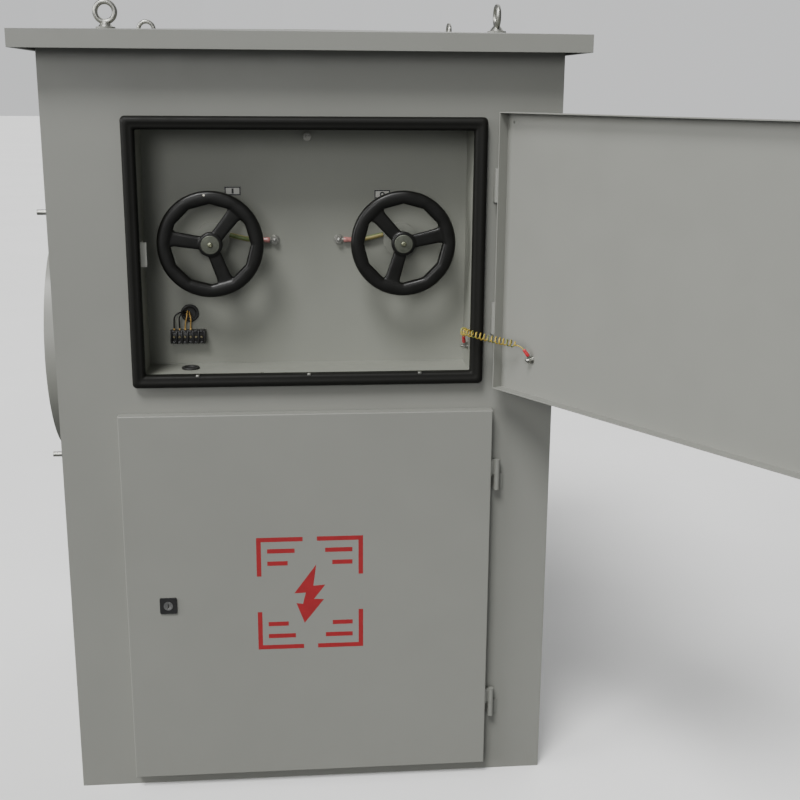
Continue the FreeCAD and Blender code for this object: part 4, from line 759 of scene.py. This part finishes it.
def spoke(angle):
    """A flat spoke that widens at both ends."""
    rings = []
    for k in range(34):
        reach = (8 + 76 * k / 33) * mm
        half = (12.6 + 0.03 * max(0.0, reach / mm - 30)) * mm
        half += 4.5 * mm * (max(0.0, reach - 64 * mm) / (12 * mm)) ** 2
        half = min(half, 20 * mm)
        ring = []
        for n in range(24):
            t = 2 * math.pi * n / 24
            c, s = math.cos(t), math.sin(t)
            across = half * math.copysign(abs(c) ** 0.35, c)
            depth = 7.6 * mm * math.copysign(abs(s) ** 0.5, s)
            ring.append(Vector((reach * math.cos(angle) - across * math.sin(angle), depth,
                                reach * math.sin(angle) + across * math.cos(angle))))
        rings.append(ring)
    return swept(rings)


def handwheel(name, x, first_spoke, body):
    """Grows the rim, spokes and boss together into one moulding with soft inner corners."""
    boss = lathe([(-9.6 * mm, 18.5 * mm), (-9.4 * mm, 21.0 * mm), (-8.6 * mm, 22.4 * mm),
                  (-6.8 * mm, 22.9 * mm), (4 * mm, 22.9 * mm), (10 * mm, 21.2 * mm),
                  (28 * mm, 20.8 * mm), (31.4 * mm, 19.8 * mm),
                  (32.6 * mm, 17.0 * mm)], (0, 0, 0), (0, 1, 0), 60)
    spokes = [spoke(math.radians(first_spoke + 120 * k)) for k in range(3)]
    verts, faces = together([rim(), boss] + spokes)
    mesh = bpy.data.meshes.new(name)
    mesh.from_pydata([tuple(v) for v in verts], [], faces)
    even_out(mesh)
    blank = bpy.data.objects.new(name + "_blank", mesh)
    bpy.context.scene.collection.objects.link(blank)
    skin = blank.modifiers.new("skin", "REMESH")
    skin.mode = "VOXEL"
    skin.voxel_size = 1.0 * mm
    polish = blank.modifiers.new("polish", "SMOOTH")
    polish.factor = 0.5
    polish.iterations = 7
    grown = bpy.data.meshes.new_from_object(blank.evaluated_get(bpy.context.evaluated_depsgraph_get()))
    bpy.data.objects.remove(blank)
    grown.transform(Matrix.Translation((x, WHEEL_FRONT + 11 * mm, AXIS_Z)))
    grown.materials.clear()
    grown.materials.append(wheel_resin)
    grown.name = name
    return settle(grown, name, body)


left_wheel = handwheel("left_wheel", -WHEEL_X, 51, "left_operator")
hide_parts("left_handwheel")
right_wheel = handwheel("right_wheel", WHEEL_X, 13, "right_operator")
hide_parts("right_handwheel")
dot_white = moulded("dot_white", (0.62, 0.60, 0.50), 0.4, 0.5)
turn = math.radians(95.4)
DOT_REACH = 91.7 * mm
dot_place = Vector((-WHEEL_X + DOT_REACH * math.cos(turn), WHEEL_FRONT + 0.9 * mm,
                    AXIS_Z + DOT_REACH * math.sin(turn)))
dot_profile = [(-0.4 * mm, 2.8 * mm), (0.1 * mm, 2.7 * mm), (0.5 * mm, 1.9 * mm), (0.65 * mm, 0.4 * mm)]
verts, faces = lathe(dot_profile, dot_place, (0, -1, 0), 20)
piece("left_wheel_dot", verts, faces, dot_white, "left_operator")


# ---------------------------------------------------------------------------------------------------------
# Hub discs. Pressed aluminium caps, satin grey and slightly domed, each held by a brass-tinted socket
# screw into the shaft's end.
# ---------------------------------------------------------------------------------------------------------

satin_disc = plated("satin_aluminium", (0.125, 0.132, 0.108), 0.5, 0.62, patch=120.0)
brass_screw = plated("brass_screw", (0.24, 0.25, 0.17), 0.35, 0.5)
disc_profile = [(0.0, 17.0), (0.5, 17.6), (1.6, 17.7), (2.3, 17.2), (2.6, 16.2), (2.45, 15.2), (2.6, 14.0),
                (2.85, 9.0), (3.0, 4.0), (3.0, 0.6)]
screw_profile = [(2.8, 4.9), (3.8, 4.9), (4.7, 4.2), (5.2, 3.2), (5.3, 2.2), (4.2, 2.0), (4.1, 0.3)]
for x, side in ((-WHEEL_X, "left"), (WHEEL_X, "right")):
    base = Vector((x, -455 * mm, AXIS_Z))
    verts, faces = lathe([(h * mm, r * mm) for h, r in disc_profile], base, (0, -1, 0), 56)
    disc = piece(side + "_cap", verts, faces, satin_disc, side + "_operator", 50)
    verts, faces = lathe([(h * mm, r * mm) for h, r in screw_profile], base, (0, -1, 0), 24)
    screw = piece(side + "_cap_screw", verts, faces, brass_screw, side + "_operator", 40)
    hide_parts(side + "_hub_disc")
    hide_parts(side + "_hub_disc")


# ---------------------------------------------------------------------------------------------------------
# Door stud. A weld stud on the open door's inside with washer, ring lug and nut, and the lead's red
# sleeve above it; all of them swing with the door.
# ---------------------------------------------------------------------------------------------------------

STUD = Vector((412.59, -567.02, 907.5)) * mm
INWARD = Vector((-0.8517, -0.5240, 0.0))
DOOR_LUG = Vector((405.777, -571.208, 915.0)) * mm
FLEX_END = Vector((390.777, -567.208, 936.0)) * mm
neck = [STUD + INWARD * 3 * mm + Vector((0, 0, 4.0)) * mm,
        DOOR_LUG + (DOOR_LUG - FLEX_END).normalized() * 1.0 * mm,
        DOOR_LUG + (FLEX_END - DOOR_LUG).normalized() * 2.0 * mm]
door_parts = stud_set(STUD, INWARD, 7.0 * mm, 10 * mm, 2.95 * mm, 14 * mm) + [tube(neck, 1.9 * mm)]
verts, faces = together(door_parts)
stud = piece("door_stud", verts, faces, zinc, "upper_door", 30)
verts, faces = lathe(sleeve_profile, DOOR_LUG, (FLEX_END - DOOR_LUG).normalized(), 20)
door_sleeve = piece("door_lug_sleeve", verts, faces, red_vinyl, "upper_door", 60)
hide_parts("door_earth_bolt")
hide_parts("door_earth_bolt")


# ---------------------------------------------------------------------------------------------------------
# Curly earth lead. A thin yellow and green stranded lead set into a coil: two tight turns at the wall,
# four drawn out over the rubber, ten close ones towards the door.
# ---------------------------------------------------------------------------------------------------------

sleeve_mouth = WALL_LUG + (FLEX_START - WALL_LUG).normalized() * 15.6 * mm
door_mouth = DOOR_LUG + (FLEX_END - DOOR_LUG).normalized() * 15.6 * mm
coil_route = [sleeve_mouth, FLEX_START, Vector((297.4, -491.5, 946.8)) * mm,
              Vector((312.4, -515.5, 945.8)) * mm, Vector((348.4, -533.5, 938.8)) * mm,
              FLEX_END, door_mouth]
coil_axis = route_line("coil_route", coil_route, 24)
LEAD_R = 1.3 * mm
COIL_R = 5.8 * mm
CLOSE_PITCH = 8.0 * mm
DRAWN_OUT = 3.2 * mm


def smooth_step(value, low, high):
    t = min(1.0, max(0.0, (value - low) / (high - low)))
    return t * t * (3 - 2 * t)


def coiled(axis):
    """The lead's own line: it winds round the coil's axis, closer or wider as it is stretched."""
    lengths = [0.0]
    for a, b in zip(axis, axis[1:]):
        lengths.append(lengths[-1] + (b - a).length)
    total = lengths[-1]
    sides = []
    side = None
    for k in range(len(axis)):
        ahead = (axis[min(k + 1, len(axis) - 1)] - axis[max(k - 1, 0)]).normalized()
        side = ahead.orthogonal() if side is None else side
        side = (side - ahead * side.dot(ahead)).normalized()
        sides.append((side, ahead.cross(side)))
    points = []
    along, phase, k = 0.0, 0.0, 0
    while along < total:
        while k < len(lengths) - 2 and lengths[k + 1] < along:
            k += 1
        t = (along - lengths[k]) / max(1e-9, lengths[k + 1] - lengths[k])
        centre = axis[k].lerp(axis[k + 1], t)
        right = sides[k][0].lerp(sides[k + 1][0], t).normalized()
        up = sides[k][1].lerp(sides[k + 1][1], t).normalized()
        pitch = CLOSE_PITCH + (DRAWN_OUT * smooth_step(along, 0.024, 0.034)
                               * (1 - smooth_step(along, 0.068, 0.078)))
        pitch += 0.5 * mm * math.sin(along * 330)
        swell = smooth_step(along, 0.003, 0.014) * (1 - smooth_step(along, total - 0.026, total - 0.012))
        radius = COIL_R * swell * (1 + 0.05 * math.sin(along * 210 + 1.0))
        points.append(centre + right * (radius * math.cos(phase)) + up * (radius * math.sin(phase)))
        step = min(1.2 * mm, pitch / 16)
        along += step
        phase += 2 * math.pi * step / pitch
    points.append(axis[-1])
    return points


lead_line = coiled(coil_axis)
verts, faces = tube(lead_line, LEAD_R, 9)
curly = piece("curly_earth_lead", verts, faces, lead_yellow, None)
stripe(curly, 9, 3, len(lead_line) - 1)
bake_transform(curly)
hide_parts("earth_lead")


# ---------------------------------------------------------------------------------------------------------
# Danger mark on the lower door. Screen-printed in red: a plain lightning flash between four corner
# brackets with short bars, ink a tenth of a millimetre thick.
# ---------------------------------------------------------------------------------------------------------

red_ink = moulded("red_ink", (0.26, 0.010, 0.014), 0.42, 0.58, grain=0.00003,
                   grain_scale=900.0, tint=0.10, cloud=40.0)
DOOR_FACE = -500.3 * mm
MARK_X = -4 * mm
MARK_Z = 423.5 * mm
FILM = 0.1 * mm
flash = [(12, 60), (-32, 0), (-9, 1), (-15, -23), (-28, -21), (-12, -64), (27, -14), (7, -13), (30, 17),
         (6, 15)]
prints = [flat_shape([(MARK_X + x * mm, MARK_Z + z * mm) for x, z in flash], DOOR_FACE, FILM)]


def corner_mark(side, up):
    """A bracket round one corner and two bars inside it."""
    parts = []
    for x0, x1, z0, z1 in ((14, 105, 110, 119), (96, 105, 38, 110), (30, 84, 86, 95), (44, 84, 60, 69)):
        xs = sorted((MARK_X + side * x0 * mm, MARK_X + side * x1 * mm))
        zs = sorted((MARK_Z + up * z0 * mm, MARK_Z + up * z1 * mm))
        parts.append(bar(xs[0], xs[1], zs[0], zs[1], DOOR_FACE, FILM))
    return parts


for side in (-1, 1):
    for up in (-1, 1):
        prints += corner_mark(side, up)
verts, faces = together(prints)
piece("danger_mark", verts, faces, red_ink, "lower_door", False)


# ---------------------------------------------------------------------------------------------------------
# Cam lock of the lower door. A square black moulded plate and a threaded body through the door, with a
# dished plated cylinder that a key turns.
# ---------------------------------------------------------------------------------------------------------

lock_black = moulded("lock_black", (0.013, 0.013, 0.013), 0.28, 0.4, coat=0.2, soft_edge=0.0005)
lock_metal = plated("lock_metal", (0.34, 0.34, 0.33), 0.3, 0.45)
cover_with(lock_black, "lock_housing")
cover_with(lock_metal, "lock_cylinder")


# ---------------------------------------------------------------------------------------------------------
# Floor, light and camera. A very large pale floor inside a pale round wall, four soft far lamps of which
# the strongest stands high to the left in front, and a camera at standing height.
# ---------------------------------------------------------------------------------------------------------

FLOOR_RADIUS = 60.0
floor_mesh = bpy.data.meshes.new("floor")
around = [(FLOOR_RADIUS * math.cos(2 * math.pi * k / 96), FLOOR_RADIUS * math.sin(2 * math.pi * k / 96), 0.0)
          for k in range(96)]
floor_mesh.from_pydata(around, [], [tuple(range(96))])
floor = bpy.data.objects.new("floor", floor_mesh)
bpy.context.scene.collection.objects.link(floor)
floor_finish, tree, shader = new_material("pale_floor")
where = place_of(tree)
clouds = mottle(tree, where, 0.8, 0.3, 0.7)
tree.links.new(blend_colour(tree, clouds, (0.80, 0.80, 0.79, 1), (0.84, 0.84, 0.83, 1)),
               shader.inputs["Base Color"])
spread_roughness(tree, shader, mottle(tree, where, 3.0, 0.3, 0.7), 0.7, 0.85)
floor_mesh.materials.append(floor_finish)

WALL_HEIGHT = 30.0
wall_mesh = bpy.data.meshes.new("backdrop")
wall_mesh.from_pydata(around + [(x, y, WALL_HEIGHT) for x, y, _ in around], [],
                      [(k, (k + 1) % 96, 96 + (k + 1) % 96, 96 + k) for k in range(96)])
backdrop = bpy.data.objects.new("backdrop", wall_mesh)
bpy.context.scene.collection.objects.link(backdrop)
wall_finish, tree, shader = new_material("pale_backdrop")
shader.inputs["Base Color"].default_value = (0, 0, 0, 1)
shader.inputs["Emission Color"].default_value = (0.98, 0.99, 1.0, 1.0)
shader.inputs["Emission Strength"].default_value = 0.72
wall_mesh.materials.append(wall_finish)
backdrop.visible_shadow = False
for stage_piece in (floor, backdrop):
    stage_piece.visible_diffuse = False
    stage_piece.visible_glossy = False

world = bpy.data.worlds.new("studio")
world.use_nodes = True
world.node_tree.nodes["Background"].inputs["Color"].default_value = (0.95, 0.97, 1.0, 1.0)
world.node_tree.nodes["Background"].inputs["Strength"].default_value = 0.24
bpy.context.scene.world = world


def sun(name, azimuth, elevation, spread, power):
    """A far lamp; azimuth is degrees to the left of straight in front, spread is how wide it looks."""
    light = bpy.data.lights.new(name, "SUN")
    light.energy = power
    light.angle = math.radians(spread)
    made = bpy.data.objects.new(name, light)
    a, e = math.radians(azimuth), math.radians(elevation)
    way = Vector((-math.sin(a) * math.cos(e), -math.cos(a) * math.cos(e), math.sin(e)))
    made.rotation_euler = way.to_track_quat("Z", "Y").to_euler()
    bpy.context.scene.collection.objects.link(made)


sun("key", 30, 55, 21, 3.5)
sun("front", 14, 14, 22, 0.8)
sun("side", 75, 20, 40, 2.5)
sun("back", 205, 40, 60, 1.0)

camera_data = bpy.data.cameras.new("camera")
camera_data.sensor_fit = "HORIZONTAL"
camera_data.sensor_width = 36.0
camera_data.lens = 54.32
camera_data.clip_end = 200.0
camera = bpy.data.objects.new("camera", camera_data)
yaw, pitch, roll = math.radians(5.4263), math.radians(14.4584), math.radians(0.3903)
ahead = Vector((math.sin(yaw) * math.cos(pitch), math.cos(yaw) * math.cos(pitch), -math.sin(pitch)))
level = Vector((math.cos(yaw), -math.sin(yaw), 0.0))
upward = level.cross(ahead)
right = level * math.cos(roll) + upward * math.sin(roll)
up = upward * math.cos(roll) - level * math.sin(roll)
facing = Matrix((right, up, -ahead)).transposed().to_4x4()
camera.matrix_world = Matrix.Translation((-0.0400, -2.7376, 1.3964)) @ facing
bpy.context.scene.collection.objects.link(camera)
bpy.context.scene.camera = camera
